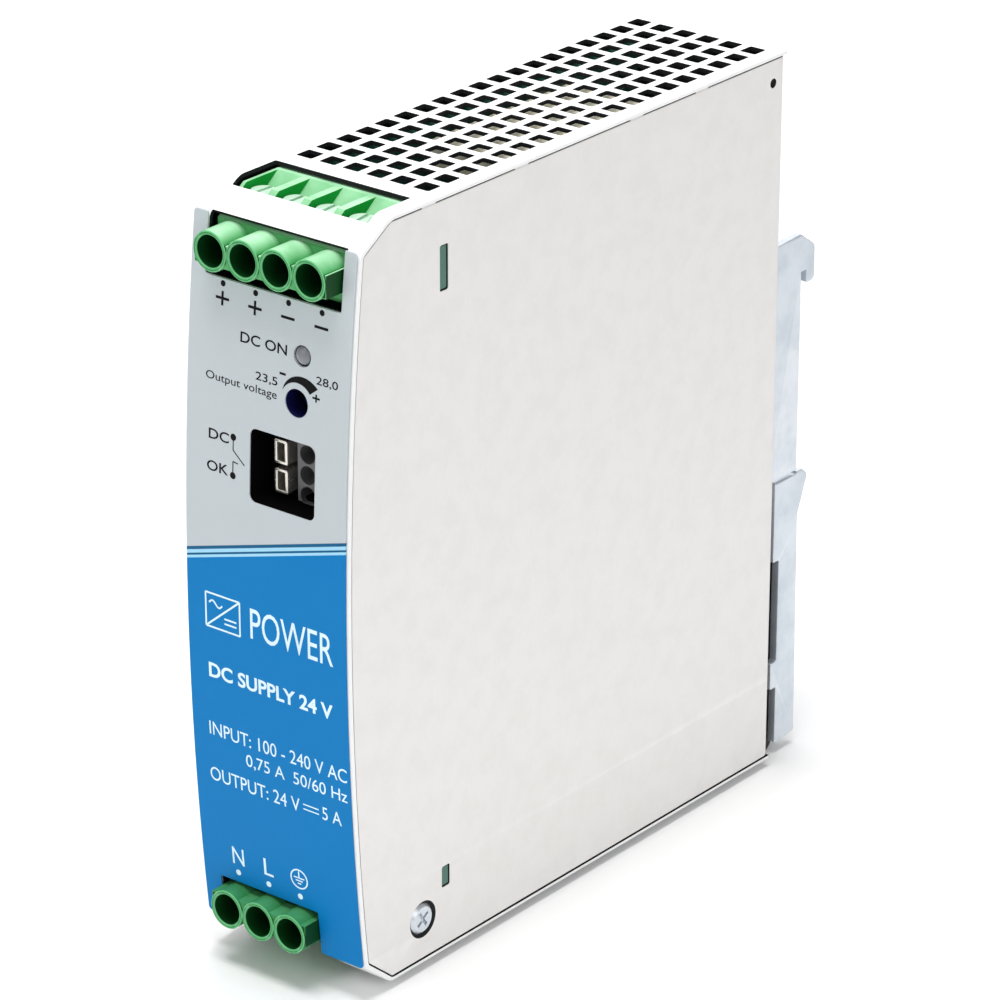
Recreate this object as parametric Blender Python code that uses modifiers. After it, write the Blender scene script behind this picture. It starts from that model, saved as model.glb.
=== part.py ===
"""DIN rail power supply, modelled in metres, +Z up, the front towards -Y.

Every sub-part is one closed solid in its own object. All sizes below are in millimetres in the case's
own coordinates: x across the case, y backwards from the top corner of the front, z up from the case's
underside. The empty called case_datum places that corner so that the origin of the world lies under
the middle of the whole object, on the level of its lowest point.
"""
import math

import bmesh
import bpy
from mathutils import Matrix, Vector

MM = 0.001
GAP = 0.3                   # clearance between pieces that rest on each other

# case
CASE_W = 32.0
CASE_H = 125.2
CASE_BACK = 104.4           # back of the chassis
COVER_T = 0.8
CHASSIS_T = 1.0
SHEET_GAP = 0.2             # between the cover and the edges of the chassis
SLANT_Y = 6.2               # where the slanted upper front edge meets the top
SLANT_Z = 121.1             # where it meets the bulged front
CHAMFER_Y = 5.2             # where the lower chamfer meets the underside
CHAMFER_Z = 5.0
TOP_CORNER_Y = -0.5         # ends of the bulged front
LOW_CORNER_Y = -0.9
BULGE = 3.35                # how far the front swells past its own ends
LABEL_T = 0.25
LABEL_GAP = 0.1

# perforation of the top and the underside
HOLE = 3.05
PITCH = 4.51
HOLE_COLUMNS = 6
HOLE_ROWS = 19
GRID_X = 0.75
GRID_Y = 19.4

# terminal blocks
POLE = 6.35
OUT_POLES = 4
IN_POLES = 3
OUT_X = 0.25                # middle of the output block
IN_X = -2.45
TUBE_R = 3.2
BORE_R = 2.55
TUBE_FRONT = -4.9
BLOCK_FRONT = 0.6
BLOCK_BACK = 17.4
BLOCK_DEPTH = 14.2          # rear edge of the windows over the screws
OUT_ENTRY_Z = 117.1
IN_ENTRY_Z = 8.45
BLOCK_TOP = 6.5             # heights in a block are measured from its wire entries towards its screws
BLOCK_BASE = -4.75
STEP_TOP = 3.15
SCREW_Y = 7.3
WELL_FLOOR = 4.3
CAGE = (-3.4, 2.7)          # lower and upper face of a contact cage
CAGE_T = 0.7
CLAMP_T = 0.7
SHANK_R = 1.45
HEAD_R = 2.0
HEAD_H = (5.0, 6.2)

# front openings
OUT_WINDOW = (-12.9, 13.4, 112.0, 121.4)
IN_WINDOW = (-12.35, 7.45, -1.0, 12.2)
LED_AT = (6.4, 103.8)
LED_R = 1.45
ADJUSTER_AT = (5.5, 96.3)
ADJUSTER_HOLE_R = 2.2
ALARM_WINDOW = (-3.2, 9.5, 78.7, 90.4)
CONTACT_MIDDLE_Z = 84.15    # between the alarm socket's two contacts
CONTACT_STEP = 2.35         # from there to the middle of each

# boards
FRONT_BOARD_Y = (17.85, 19.45)
TAB_UPPER = (110.3, 117.0)
TAB_LOWER = (11.4, 14.5)
MAIN_BOARD_X = (-13.0, -11.4)
MAIN_BOARD_Y = (20.4, 101.5)
MAIN_BOARD_Z = (3.0, 121.5)
DECK = MAIN_BOARD_X[1] + GAP        # where the components stand on the main board

# side screws
SIDE_SCREW_AT = (13.05, 7.6)
EAR_GAP = 0.4               # between the cover's ears and the side panels

# rail bracket and latch
BRACKET_X = 14.0
BRACKET_T = 1.5
SEAT_Y = 113.0              # the plane that the rail's flange rests on
HOOK_SEAT_Z = 84.5
HORN_TOP_Z = 49.1
BRACKET_TOP_Z = 91.2
BRACKET_SCREWS = ((-7.5, 70.0), (7.5, 70.0))
LATCH_LOW_Z = 0.6
TAB_Z = -1.4

CENTRE_Y = 55.85            # middle of the whole object, front to back

part = None
cutters = None
datum = None


def clear_scene():
    for obj in list(bpy.data.objects):
        bpy.data.objects.remove(obj, do_unlink=True)


def make_collections():
    global part, cutters, datum
    part = bpy.data.collections.new("din_rail_power_supply")
    cutters = bpy.data.collections.new("cutters")
    bpy.context.scene.collection.children.link(part)
    bpy.context.scene.collection.children.link(cutters)
    datum = bpy.data.objects.new("case_datum", None)
    datum.location = (0, -CENTRE_Y * MM, -TAB_Z * MM)
    part.objects.link(datum)
    bpy.context.view_layer.update()


def material(name, colour, roughness, metallic=0.0):
    found = bpy.data.materials.get(name)
    if found:
        return found
    made = bpy.data.materials.new(name)
    made.use_nodes = True
    shader = made.node_tree.nodes["Principled BSDF"]
    shader.inputs["Base Color"].default_value = (*colour, 1.0)
    shader.inputs["Roughness"].default_value = roughness
    shader.inputs["Metallic"].default_value = metallic
    return made


def white_paint():
    return material("white_paint", (0.86, 0.86, 0.85), 0.4)


def bare_steel():
    return material("bare_steel", (0.76, 0.75, 0.73), 0.5, 0.6)


def zinc_plate():
    return material("zinc_plate", (0.78, 0.81, 0.85), 0.35, 0.8)


def green_plastic():
    return material("green_plastic", (0.14, 0.62, 0.24), 0.4)


def black_plastic():
    return material("black_plastic", (0.02, 0.02, 0.02), 0.45)


def tinned_metal():
    return material("tinned_metal", (0.82, 0.81, 0.77), 0.3, 1.0)


def board_green():
    return material("board_green", (0.05, 0.30, 0.24), 0.5)


def aluminium():
    return material("aluminium", (0.80, 0.80, 0.80), 0.4, 1.0)


def keep(obj, collection, paint=None):
    """Move an object to its collection, hang it on the datum and give it its material."""
    for old in list(obj.users_collection):
        old.objects.unlink(obj)
    collection.objects.link(obj)
    obj.parent = datum
    if paint:
        obj.data.materials.clear()
        obj.data.materials.append(paint)
    if collection is cutters:
        obj.hide_render = True
        obj.display_type = "WIRE"
    return obj


def place_mesh(obj, matrix):
    obj.data.transform(matrix)
    obj.matrix_basis = Matrix.Identity(4)


def box(name, low, high, collection=None, paint=None):
    """A block between two corners, in millimetres."""
    bpy.ops.mesh.primitive_cube_add(size=1)
    obj = bpy.context.object
    obj.name = name
    size = [(h - l) * MM for l, h in zip(low, high)]
    middle = [(h + l) * MM / 2 for l, h in zip(low, high)]
    place_mesh(obj, Matrix.Translation(middle) @ Matrix.Diagonal((*size, 1)))
    return keep(obj, collection or cutters, paint)


def turn_to(axis):
    """A rotation that brings the local +Z to the named world axis."""
    return {"x": Matrix.Rotation(math.pi / 2, 4, "Y"), "-x": Matrix.Rotation(-math.pi / 2, 4, "Y"),
            "y": Matrix.Rotation(-math.pi / 2, 4, "X"), "-y": Matrix.Rotation(math.pi / 2, 4, "X"),
            "z": Matrix.Identity(4)}[axis]


def rod(name, radius, start, length, axis, collection=None, paint=None, sides=20, tip_radius=None):
    """A cylinder or cone from a start point along +axis, in millimetres."""
    bpy.ops.mesh.primitive_cone_add(vertices=sides, radius1=radius * MM,
                                    radius2=(radius if tip_radius is None else tip_radius) * MM,
                                    depth=length * MM)
    obj = bpy.context.object
    obj.name = name
    lift = Matrix.Translation((0, 0, length * MM / 2))
    place_mesh(obj, Matrix.Translation(Vector(start) * MM) @ turn_to(axis) @ lift)
    shade(obj)
    return keep(obj, collection or cutters, paint)


def shade(obj):
    obj.data.shade_smooth()
    obj.data.set_sharp_from_angle(angle=math.radians(35))


def curve_mesh(name, points, closed, matrix, extrude=0.0, bevel=0.0, flat=True):
    """A poly curve turned into a mesh, its caps welded. Points are in millimetres."""
    data = bpy.data.curves.new(name, "CURVE")
    data.dimensions = "2D" if flat else "3D"
    if flat:
        data.fill_mode = "BOTH" if closed else "NONE"
    data.extrude = extrude * MM
    data.bevel_depth = bevel * MM
    data.bevel_resolution = 0
    data.use_fill_caps = bevel > 0
    spline = data.splines.new("POLY")
    spline.points.add(len(points) - 1)
    for spot, point in zip(spline.points, points):
        third = point[2] * MM if len(point) > 2 else 0
        spot.co = (point[0] * MM, point[1] * MM, third, 1)
    spline.use_cyclic_u = closed
    line = bpy.data.objects.new(name + "_line", data)
    bpy.context.scene.collection.objects.link(line)
    bpy.context.view_layer.update()
    mesh = bpy.data.meshes.new_from_object(line.evaluated_get(bpy.context.evaluated_depsgraph_get()))
    bpy.data.objects.remove(line, do_unlink=True)
    work = bmesh.new()
    work.from_mesh(mesh)
    bmesh.ops.remove_doubles(work, verts=work.verts, dist=0.00001)
    work.to_mesh(mesh)
    work.free()
    obj = bpy.data.objects.new(name, mesh)
    obj.data.transform(matrix)
    return obj


SIDE_VIEW = Matrix(((0, 0, 1, 0), (1, 0, 0, 0), (0, 1, 0, 0), (0, 0, 0, 1)))     # outline (y, z), depth x
FRONT_VIEW = Matrix(((1, 0, 0, 0), (0, 0, -1, 0), (0, 1, 0, 0), (0, 0, 0, 1)))   # outline (x, z), depth -y
PLAN_VIEW = Matrix.Identity(4)                                                  # outline (x, y), depth z


def prism(name, outline, view, low, high, collection=None, paint=None):
    """A closed outline with a thickness from low to high along the view's depth."""
    obj = curve_mesh(name, outline, True, view, extrude=(high - low) / 2)
    depth = Vector((view[0][2], view[1][2], view[2][2]))
    obj.data.transform(Matrix.Translation(depth * (high + low) / 2 * MM))
    return keep(obj, collection or cutters, paint)


def ribbon(name, line, view, half_width, thickness, paint):
    """An open line widened to a sheet and thickened towards the inside of the case."""
    obj = curve_mesh(name, line, False, view, extrude=half_width)
    keep(obj, part, paint)
    solid = obj.modifiers.new("sheet", "SOLIDIFY")
    solid.thickness = thickness * MM
    solid.offset = 1
    solid.use_even_offset = True
    return obj


def combine(obj, other, operation="DIFFERENCE"):
    step = obj.modifiers.new(other.name, "BOOLEAN")
    step.operation = operation
    step.solver = "EXACT"
    step.object = other
    return obj


def fillet(points, radii, steps=4):
    """Round the inner corners of an open line."""
    out = [Vector(points[0])]
    for before, corner, after, radius in zip(points, points[1:], points[2:], radii):
        corner = Vector(corner)
        a = (Vector(before) - corner).normalized()
        b = (Vector(after) - corner).normalized()
        half = a.angle(b) / 2
        if radius <= 0:
            out.append(corner)
            continue
        reach = radius / math.tan(half)
        centre = corner + (a + b).normalized() * radius / math.sin(half)
        first = corner + a * reach - centre
        sweep = first.angle_signed(corner + b * reach - centre)
        for n in range(steps + 1):
            turn = Matrix.Rotation(-sweep * n / steps, 2)
            out.append(centre + turn @ first)
    out.append(Vector(points[-1]))
    return [tuple(p) for p in out]


def front_y(z):
    """The bulged front: an arc through its two ends, as y for a height z."""
    middle = (SLANT_Z + CHAMFER_Z) / 2
    half = (SLANT_Z - CHAMFER_Z) / 2
    radius = (half ** 2 + BULGE ** 2) / (2 * BULGE)
    chord = LOW_CORNER_Y + (TOP_CORNER_Y - LOW_CORNER_Y) * (z - CHAMFER_Z) / (2 * half)
    sag = radius - math.sqrt(radius ** 2 - (z - middle) ** 2)
    return chord - BULGE + sag


def front_arc(high, low, steps):
    return [(front_y(high + (low - high) * n / steps), high + (low - high) * n / steps)
            for n in range(steps + 1)]


def sharp_case_line(steps=14):
    """The case's outer profile with its bends left sharp."""
    return ([(CASE_BACK, CASE_H), (SLANT_Y, CASE_H)] + front_arc(SLANT_Z, CHAMFER_Z, steps)
            + [(CHAMFER_Y, 0), (CASE_BACK, 0)])


def case_line(steps=14):
    """The case's outer profile, from the top back edge round the front to the lower back edge."""
    arc = front_arc(SLANT_Z, CHAMFER_Z, steps)
    upper = fillet([(CASE_BACK, CASE_H), (SLANT_Y, CASE_H), arc[0], arc[1]], [4.0, 1.8], 3)
    lower = fillet([arc[-2], arc[-1], (CHAMFER_Y, 0), (CASE_BACK, 0)], [1.8, 2.0], 3)
    return upper[:-1] + arc[1:-1] + lower[1:]


def inset(points, distance):
    """Shift a closed outline inwards, edge by edge."""
    out = []
    count = len(points)
    area = sum(points[n][0] * points[(n + 1) % count][1] - points[(n + 1) % count][0] * points[n][1]
               for n in range(count))
    side = 1 if area > 0 else -1
    for n in range(count):
        a, b, c = Vector(points[n - 1]), Vector(points[n]), Vector(points[(n + 1) % count])
        first, second = (b - a).normalized(), (c - b).normalized()
        normal = Vector((-first.y, first.x)) + Vector((-second.y, second.x))
        normal = normal.normalized() * side
        stretch = distance / normal.dot(Vector((-second.y, second.x)) * side)
        out.append(tuple(b + normal * stretch))
    return out


def rectangle(low_a, high_a, low_b, high_b, radius=0.0, steps=3):
    """A rectangle's outline, its corners rounded."""
    if radius <= 0:
        return [(low_a, low_b), (high_a, low_b), (high_a, high_b), (low_a, high_b)]
    out = []
    corners = ((high_a - radius, low_b + radius, -90), (high_a - radius, high_b - radius, 0),
               (low_a + radius, high_b - radius, 90), (low_a + radius, low_b + radius, 180))
    for a, b, start in corners:
        for n in range(steps + 1):
            turn = math.radians(start + 90 * n / steps)
            out.append((a + radius * math.cos(turn), b + radius * math.sin(turn)))
    return out


def turned(name, profile, paint, collection, steps=20):
    """A profile of (radius, height), given from the top down, turned about +Z."""
    obj = curve_mesh(name, [(r, h, 0) for r, h in profile], False, Matrix.Rotation(math.pi / 2, 4, "X"),
                     flat=False)
    keep(obj, collection, paint)
    spin = obj.modifiers.new("turn", "SCREW")
    spin.axis = "Z"
    spin.steps = steps
    spin.render_steps = steps
    spin.use_merge_vertices = True
    spin.merge_threshold = 0.00001
    return obj


def hole_grid(name, z):
    cell = box(name, (GRID_X - 2.5 * PITCH - HOLE / 2, GRID_Y - HOLE / 2, z - 2),
               (GRID_X - 2.5 * PITCH + HOLE / 2, GRID_Y + HOLE / 2, z + 2))
    for axis, count in ((0, HOLE_COLUMNS), (1, HOLE_ROWS)):
        row = cell.modifiers.new("row", "ARRAY")
        row.count = count
        row.use_relative_offset = False
        row.use_constant_offset = True
        row.constant_offset_displace = [PITCH * MM if n == axis else 0 for n in range(3)]
        row.merge_threshold = 0.00001
    return cell


def make_cover():
    line = case_line()
    cover = ribbon("case_cover", line, SIDE_VIEW, CASE_W / 2, COVER_T, white_paint())
    for side in (-1, 1):
        inner = CASE_W / 2 - CHASSIS_T - EAR_GAP
        outer_x, inner_x = side * inner, side * (inner - CHASSIS_T)
        outline = [(9.0, 0.4), (17.4, 0.4), (17.4, 9.4), (15.4, 11.6), (10.8, 11.6), (9.0, 9.8)]
        ear = prism(f"cover_ear_{side}", outline, SIDE_VIEW, min(outer_x, inner_x), max(outer_x, inner_x))
        combine(cover, ear, "UNION")
    for name, z in (("top_grid", CASE_H), ("low_grid", 0.0)):
        combine(cover, hole_grid(name, z))
    x0, x1, z0, z1 = OUT_WINDOW
    combine(cover, box("output_front", (x0, -8, z0), (x1, 3.2, z1)))
    combine(cover, box("output_top", (x0 + 0.1, 4.4, 121), (x1 - 0.1, BLOCK_DEPTH, 127)))
    x0, x1, z0, z1 = IN_WINDOW
    combine(cover, box("input_front", (x0, -8, z0), (x1, BLOCK_DEPTH, z1)))
    for cutter in front_openings("cover"):
        combine(cover, cutter)
    combine(cover, rod("ear_thread", 1.6, (-20, *SIDE_SCREW_AT), 40, "x", sides=12))
    return cover


def front_openings(owner):
    """Cutters through the front for the lamp, the adjuster and the alarm socket."""
    start, depth = -7.0, 8.0
    (lamp_x, lamp_z), (turn_x, turn_z) = LED_AT, ADJUSTER_AT
    lamp = rod(f"{owner}_lamp", LED_R + 0.2, (lamp_x, start, lamp_z), depth, "y", sides=16)
    adjuster_hole = rod(f"{owner}_adjuster", ADJUSTER_HOLE_R, (turn_x, start, turn_z), depth, "y")
    window = prism(f"{owner}_alarm", rectangle(*ALARM_WINDOW, 1.2), FRONT_VIEW, -start - depth, -start)
    return lamp, adjuster_hole, window


def make_label():
    line = [(y - LABEL_GAP - LABEL_T, z) for y, z in front_arc(SLANT_Z + 0.1, CHAMFER_Z - 0.1, 14)]
    label = ribbon("front_label", line, SIDE_VIEW, CASE_W / 2 - 0.3, LABEL_T, material(
        "label_print", (0.02, 0.28, 0.62), 0.45))
    combine(label, box("label_output", (OUT_WINDOW[0], -8, OUT_WINDOW[2]), (OUT_WINDOW[1], 3, 123)))
    combine(label, box("label_input", (IN_WINDOW[0], -8, 0), (IN_WINDOW[1], 3, IN_WINDOW[3])))
    for cutter in front_openings("label"):
        combine(label, cutter)
    return label


def make_chassis():
    half = CASE_W / 2 - 0.1
    plan = fillet([(half, -6), (half, CASE_BACK), (-half, CASE_BACK), (-half, -6)], [1.4, 1.4], 3)
    chassis = curve_mesh("case_chassis", plan, False, PLAN_VIEW, extrude=CASE_H / 2)
    chassis.data.transform(Matrix.Translation((0, 0, CASE_H / 2 * MM)))
    keep(chassis, part, bare_steel())
    sheet = chassis.modifiers.new("sheet", "SOLIDIFY")
    sheet.thickness = CHASSIS_T * MM
    sheet.offset = 1
    sheet.use_even_offset = True
    outline = inset(sharp_case_line(), COVER_T + SHEET_GAP)
    outline = [(y if y < CASE_BACK - 8 else CASE_BACK + 3, z) for y, z in outline]
    combine(chassis, prism("panel_outline", outline, SIDE_VIEW, -20, 20), "INTERSECT")
    for side, name in ((-1, "left"), (1, "right")):
        near, far = sorted((side * (CASE_W / 2 - 3), side * (CASE_W / 2 + 2)))
        for low, high, label in ((*TAB_UPPER, "upper"), (*TAB_LOWER, "lower")):
            combine(chassis, box(f"slot_{name}_{label}", (near, FRONT_BOARD_Y[0] - 0.15, low - 0.25),
                                 (far, FRONT_BOARD_Y[1] + 0.15, high + 0.25)))
        mouth, throat = CASE_W / 2, CASE_W / 2 - CHASSIS_T - 0.2
        start, first, last = (throat, 2.2, 3.4) if side > 0 else (-mouth, 3.4, 2.2)
        combine(chassis, rod(f"countersink_{name}", first, (start, *SIDE_SCREW_AT), mouth - throat, "x",
                             tip_radius=last))
    for n, (x, z) in enumerate(BRACKET_SCREWS):
        combine(chassis, rod(f"bracket_hole_{n}", 1.9, (x, 100, z), 8, "y", sides=16))
    return chassis


def settle(obj, name=None):
    """Apply an object's modifiers, so that its mesh can be shared."""
    bpy.context.view_layer.update()
    mesh = bpy.data.meshes.new_from_object(obj.evaluated_get(bpy.context.evaluated_depsgraph_get()))
    for step in list(obj.modifiers):
        if step.type == "BOOLEAN":
            bpy.data.objects.remove(step.object, do_unlink=True)
        obj.modifiers.remove(step)
    obj.data = mesh
    mesh.name = name or obj.name
    return mesh


def array(obj, count, step):
    row = obj.modifiers.new("row", "ARRAY")
    row.count = count
    row.use_relative_offset = False
    row.use_constant_offset = True
    row.constant_offset_displace = [step * MM, 0, 0]
    row.merge_threshold = 0.00001
    return obj


def side_screw(name, side):
    """A countersunk screw, its head flush with the side of the case."""
    face = CASE_W / 2 - 0.12
    profile = [(0, 0), (3.0, 0), (3.0, -0.15), (SHANK_R - 0.2, -1.2), (SHANK_R - 0.2, -3.1), (0, -3.4)]
    outward = turn_to("x" if side > 0 else "-x")
    place = Matrix.Translation(Vector((side * face, *SIDE_SCREW_AT)) * MM) @ outward
    screw = turned(name, profile, zinc_plate(), part, 20)
    for n, size in enumerate(((1.7, 0.28), (0.28, 1.7))):
        combine(screw, box(f"{name}_cross_{n}", (-size[0], -size[1], -0.9), (size[0], size[1], 0.5)))
    settle(screw)
    screw.data.transform(place)
    shade(screw)
    return screw


def housing(name, poles, middle_x, entry_z, up, plastic):
    """A terminal block: tubes for the wires, a chamber for each contact and a well over each screw."""
    def z(height):
        return entry_z + up * height

    half = poles * POLE / 2
    first = middle_x - half + POLE / 2
    outline = [(BLOCK_FRONT, z(BLOCK_BASE)), (BLOCK_BACK, z(BLOCK_BASE)), (BLOCK_BACK, z(BLOCK_TOP)),
               (6.4, z(BLOCK_TOP)), (BLOCK_FRONT, z(STEP_TOP))]
    block = prism(name, outline, SIDE_VIEW, middle_x - half, middle_x + half, part, plastic)
    tubes = array(rod(name + "_tubes", TUBE_R, (first, TUBE_FRONT, entry_z), 7.0, "y", sides=24), poles, POLE)
    join = combine(block, tubes, "UNION").modifiers[-1]
    join.use_self = True
    bores = rod(name + "_bores", BORE_R, (first, TUBE_FRONT - 1, entry_z), 10.5, "y", sides=24)
    chamber = box(name + "_chambers", (first - 2.75, 3.8, min(z(-3.7), z(3.0))),
                  (first + 2.75, 19.0, max(z(-3.7), z(3.0))))
    top, floor = z(BLOCK_TOP), z(WELL_FLOOR)
    well = [(5.0, top + up), (5.0, floor), (9.7, floor), (13.4, top), (13.4, top + up)]
    wells = prism(name + "_wells", well, SIDE_VIEW, first - 2.45, first + 2.45)
    low, high = min(z(2.5), z(WELL_FLOOR + 0.6)), max(z(2.5), z(WELL_FLOOR + 0.6))
    shafts = rod(name + "_shafts", HEAD_R + 0.25, (first, SCREW_Y, low), high - low, "z")
    for cutter in (bores, chamber, wells, shafts):
        combine(block, array(cutter, poles, POLE))
    return block


def pole_meshes():
    """The contact cage, the clamp and the screw of one pole, made once round the screw's axis."""
    cage = box("cage", (-2.6, -3.2, CAGE[0]), (2.6, 5.0, CAGE[1]), part, tinned_metal())
    combine(cage, box("cage_tail", (-0.5, 4.0, CAGE[0]), (0.5, 10.0, CAGE[0] + CAGE_T)), "UNION")
    combine(cage, box("cage_window", (-2.1, -4, CAGE[0] + CAGE_T), (2.1, 6.0, CAGE[1] - CAGE_T)))
    combine(cage, rod("cage_thread", SHANK_R + 0.15, (0, 0, 1), 3, "z", sides=16))
    clamp_top = CAGE[1] - CAGE_T - 0.1
    clamp = box("clamp", (-1.95, -3.0, clamp_top - CLAMP_T), (1.95, 3.0, clamp_top), part, tinned_metal())
    for n in (-1, 0, 1):
        combine(clamp, box(f"clamp_groove_{n}", (-3, n * 1.8 - 0.25, clamp_top - CLAMP_T - 0.5),
                           (3, n * 1.8 + 0.25, clamp_top - CLAMP_T + 0.2)))
    low, high = HEAD_H
    profile = [(0, high), (HEAD_R - 0.2, high), (HEAD_R, high - 0.2), (HEAD_R, low), (SHANK_R, low),
               (SHANK_R, clamp_top + 0.3), (SHANK_R - 0.22, clamp_top + 0.08), (0, clamp_top + 0.08)]
    screw = turned("screw", profile, zinc_plate(), part, 14)
    combine(screw, box("screw_slot", (-3, -0.35, high - 0.6), (3, 0.35, high + 1)))
    meshes = [settle(obj, obj.name + "_shape") for obj in (cage, clamp, screw)]
    for obj in (cage, clamp, screw):
        bpy.data.objects.remove(obj, do_unlink=True)
    return meshes


def terminals(prefix, poles, middle_x, entry_z, up, meshes):
    """Put the contacts, clamps and screws in their block, each with its origin on its screw's axis."""
    for n in range(poles):
        x = middle_x + (n - (poles - 1) / 2) * POLE
        for kind, mesh in zip(("contact", "clamp", "screw"), meshes):
            obj = bpy.data.objects.new(f"{prefix}_{kind}_{n + 1}", mesh)
            obj.location = Vector((x, SCREW_Y, entry_z)) * MM
            obj.rotation_euler = (0, 0 if up > 0 else math.pi, 0)
            obj.parent = datum
            part.objects.link(obj)
            if kind == "screw":
                shade(obj)


def alarm_socket():
    """The two-pole socket of the alarm relay, behind its window, with a box contact for each pole."""
    x0, x1, z0, z1 = ALARM_WINDOW
    black = black_plastic()
    block = box("alarm_socket", (x0 + 0.4, 1.2, z0 + 0.35), (x1 - 0.1, BLOCK_BACK, z1 - 0.35), part, black)
    combine(block, box("alarm_cavity", (x0 + 1.2, 0, z0 + 0.9), (x1 - 0.9, 12.5, z1 - 1.1)))
    for n, step in enumerate((CONTACT_STEP, -CONTACT_STEP)):
        z = CONTACT_MIDDLE_Z + step
        combine(block, rod(f"alarm_key_{n}", 1.5, (x1 - 1.4, 0, z), 12, "y", sides=16))
        combine(block, box(f"alarm_way_{n}", (0.0, 10, z - 0.75), (1.0, 20, z + 0.75)))
        contact = box(f"alarm_contact_{n + 1}", (-0.9, -0.8, z - 1.95), (1.7, 9.0, z + 1.95), part,
                      tinned_metal())
        combine(contact, box(f"alarm_tail_{n}", (0.2, 8, z - 0.5), (0.8, 17.2, z + 0.5)), "UNION")
        combine(contact, box(f"alarm_slot_{n}", (-0.35, -1.4, z - 1.4), (1.15, 8.3, z + 1.4)))
    return block


def status_lamp():
    """The round lamp behind the front: a domed lens on a collar, its two legs towards the front board."""
    tip = front_y(LED_AT[1]) - 0.9
    profile = [(0, 0)] + [(LED_R * math.sin(a), LED_R * (1 - math.cos(a)))
                          for a in (math.radians(22.5 * n) for n in range(1, 5))]
    profile += [(LED_R, 4.3), (LED_R + 0.45, 4.3), (LED_R + 0.45, 5.3), (0, 5.3)]
    profile = [(r, -h) for r, h in profile]
    lamp = turned("status_lamp", profile, material("lamp_lens", (0.55, 0.56, 0.6), 0.25), part, 16)
    for n in (-1, 1):
        leg = box(f"lamp_leg_{n}", (n * 1.27 - 0.25, -0.25, -17.0), (n * 1.27 + 0.25, 0.25, -5.0))
        combine(lamp, leg, "UNION")
    settle(lamp)
    lamp.data.transform(Matrix.Translation(Vector((LED_AT[0], tip, LED_AT[1])) * MM) @ turn_to("-y"))
    shade(lamp)
    return lamp


def adjuster():
    """The output adjuster: a tall square body and, on the joint's axis, a rotor with a screwdriver slot."""
    x, z = ADJUSTER_AT
    blue = material("adjuster_blue", (0.02, 0.06, 0.45), 0.4)
    body = box("adjuster_body", (x - 3.4, 4.0, z - 3.4), (x + 3.4, BLOCK_BACK, z + 3.4), part, blue)
    combine(body, rod("adjuster_bore", 1.95, (x, 3, z), 9.5, "y"))
    rotor = turned("adjuster_rotor", [(0, 0), (1.45, 0), (1.65, -0.2), (1.65, -12.0), (0, -12.0)],
                   material("rotor_dark", (0.02, 0.02, 0.08), 0.4), part, 20)
    combine(rotor, box("rotor_slot", (-2, -0.25, -0.7), (2, 0.25, 1)))
    settle(rotor)
    rotor.data.transform(turn_to("-y"))
    rotor.location = Vector((x, 0.0, z)) * MM
    shade(rotor)


def front_board():
    y0, y1 = FRONT_BOARD_Y
    half = CASE_W / 2 - CHASSIS_T - 0.4
    tip = CASE_W / 2 - 0.35
    board = box("front_board", (-half, y0, 3.0), (half, y1, 119.5), part, board_green())
    for low, high, label in ((*TAB_UPPER, "upper"), (*TAB_LOWER, "lower")):
        combine(board, box("board_tab_" + label, (-tip, y0, low), (tip, y1, high)), "UNION")
    return board


def main_board():
    (x0, x1), (y0, y1), (z0, z1) = MAIN_BOARD_X, MAIN_BOARD_Y, MAIN_BOARD_Z
    board = box("main_board", (x0, y0, z0), (x1, y1, z1), part, board_green())
    for n, (y, z) in enumerate(((26, 8), (26, 116), (97, 8), (97, 116))):
        combine(board, rod(f"board_hole_{n}", 1.6, (x0 - 1, y, z), 4, "x", sides=12))
    sheet = prism("insulation_sheet", rectangle(y0, y1 + 0.4, z0 + 0.5, z1 - 0.5, 2.0, 2), SIDE_VIEW,
                  x0 - 0.9, x0 - 0.5, part, material("insulation", (0.85, 0.86, 0.84), 0.5))
    return board, sheet


def can(name, radius, length, y, z, sleeve):
    """An electrolytic capacitor standing on the main board, crimped near its foot."""
    profile = [(0, 0), (radius - 0.4, 0), (radius, 0.4), (radius, 1.6), (radius - 0.35, 2.1), (radius, 2.6),
               (radius, length - 0.5), (radius - 0.5, length), (0, length)]
    obj = turned(name, profile[::-1], sleeve, part, 20)
    settle(obj)
    obj.data.transform(Matrix.Translation(Vector((DECK, y, z)) * MM) @ turn_to("x"))
    shade(obj)


def transformer():
    """A ferrite core of two E halves closed round a wound and taped coil, its axis along z."""
    (y0, y1), (z0, z1), top = (60.0, 94.0), (84.0, 117.5), 11.5
    ferrite = material("ferrite", (0.06, 0.06, 0.06), 0.6)
    core = box("transformer_core", (DECK + 4.0, y0, z0 + 4.0), (top, y1, z1 - 4.0), part, ferrite)
    for n, y in enumerate((y0 + 6.0, y1 - 13.0)):
        combine(core, box(f"core_window_{n}", (DECK, y, z0 + 9.0), (top + 5, y + 7.0, z1 - 9.0)))
    middle_y, middle_z = (y0 + y1) / 2, (z0 + z1) / 2
    tape = material("tape", (0.86, 0.82, 0.60), 0.5)
    from_above = Matrix(((0, 1, 0, 0), (1, 0, 0, 0), (0, 0, -1, 0), (0, 0, 0, 1)))   # outline (y, x), depth -z
    winding = rectangle(y0 + 6.6, y1 - 6.6, DECK + 0.4, top + 1.6, 3.0)
    coil = prism("transformer_coil", winding, from_above, -(z1 - 9.4), -(z0 + 9.4), part, tape)
    hole = (DECK + 3.6, middle_y - 4.4), (top + 0.4, middle_y + 4.4)
    combine(coil, box("coil_hole", (*hole[0], middle_z - 20), (*hole[1], middle_z + 20)))
    return core, coil


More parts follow.
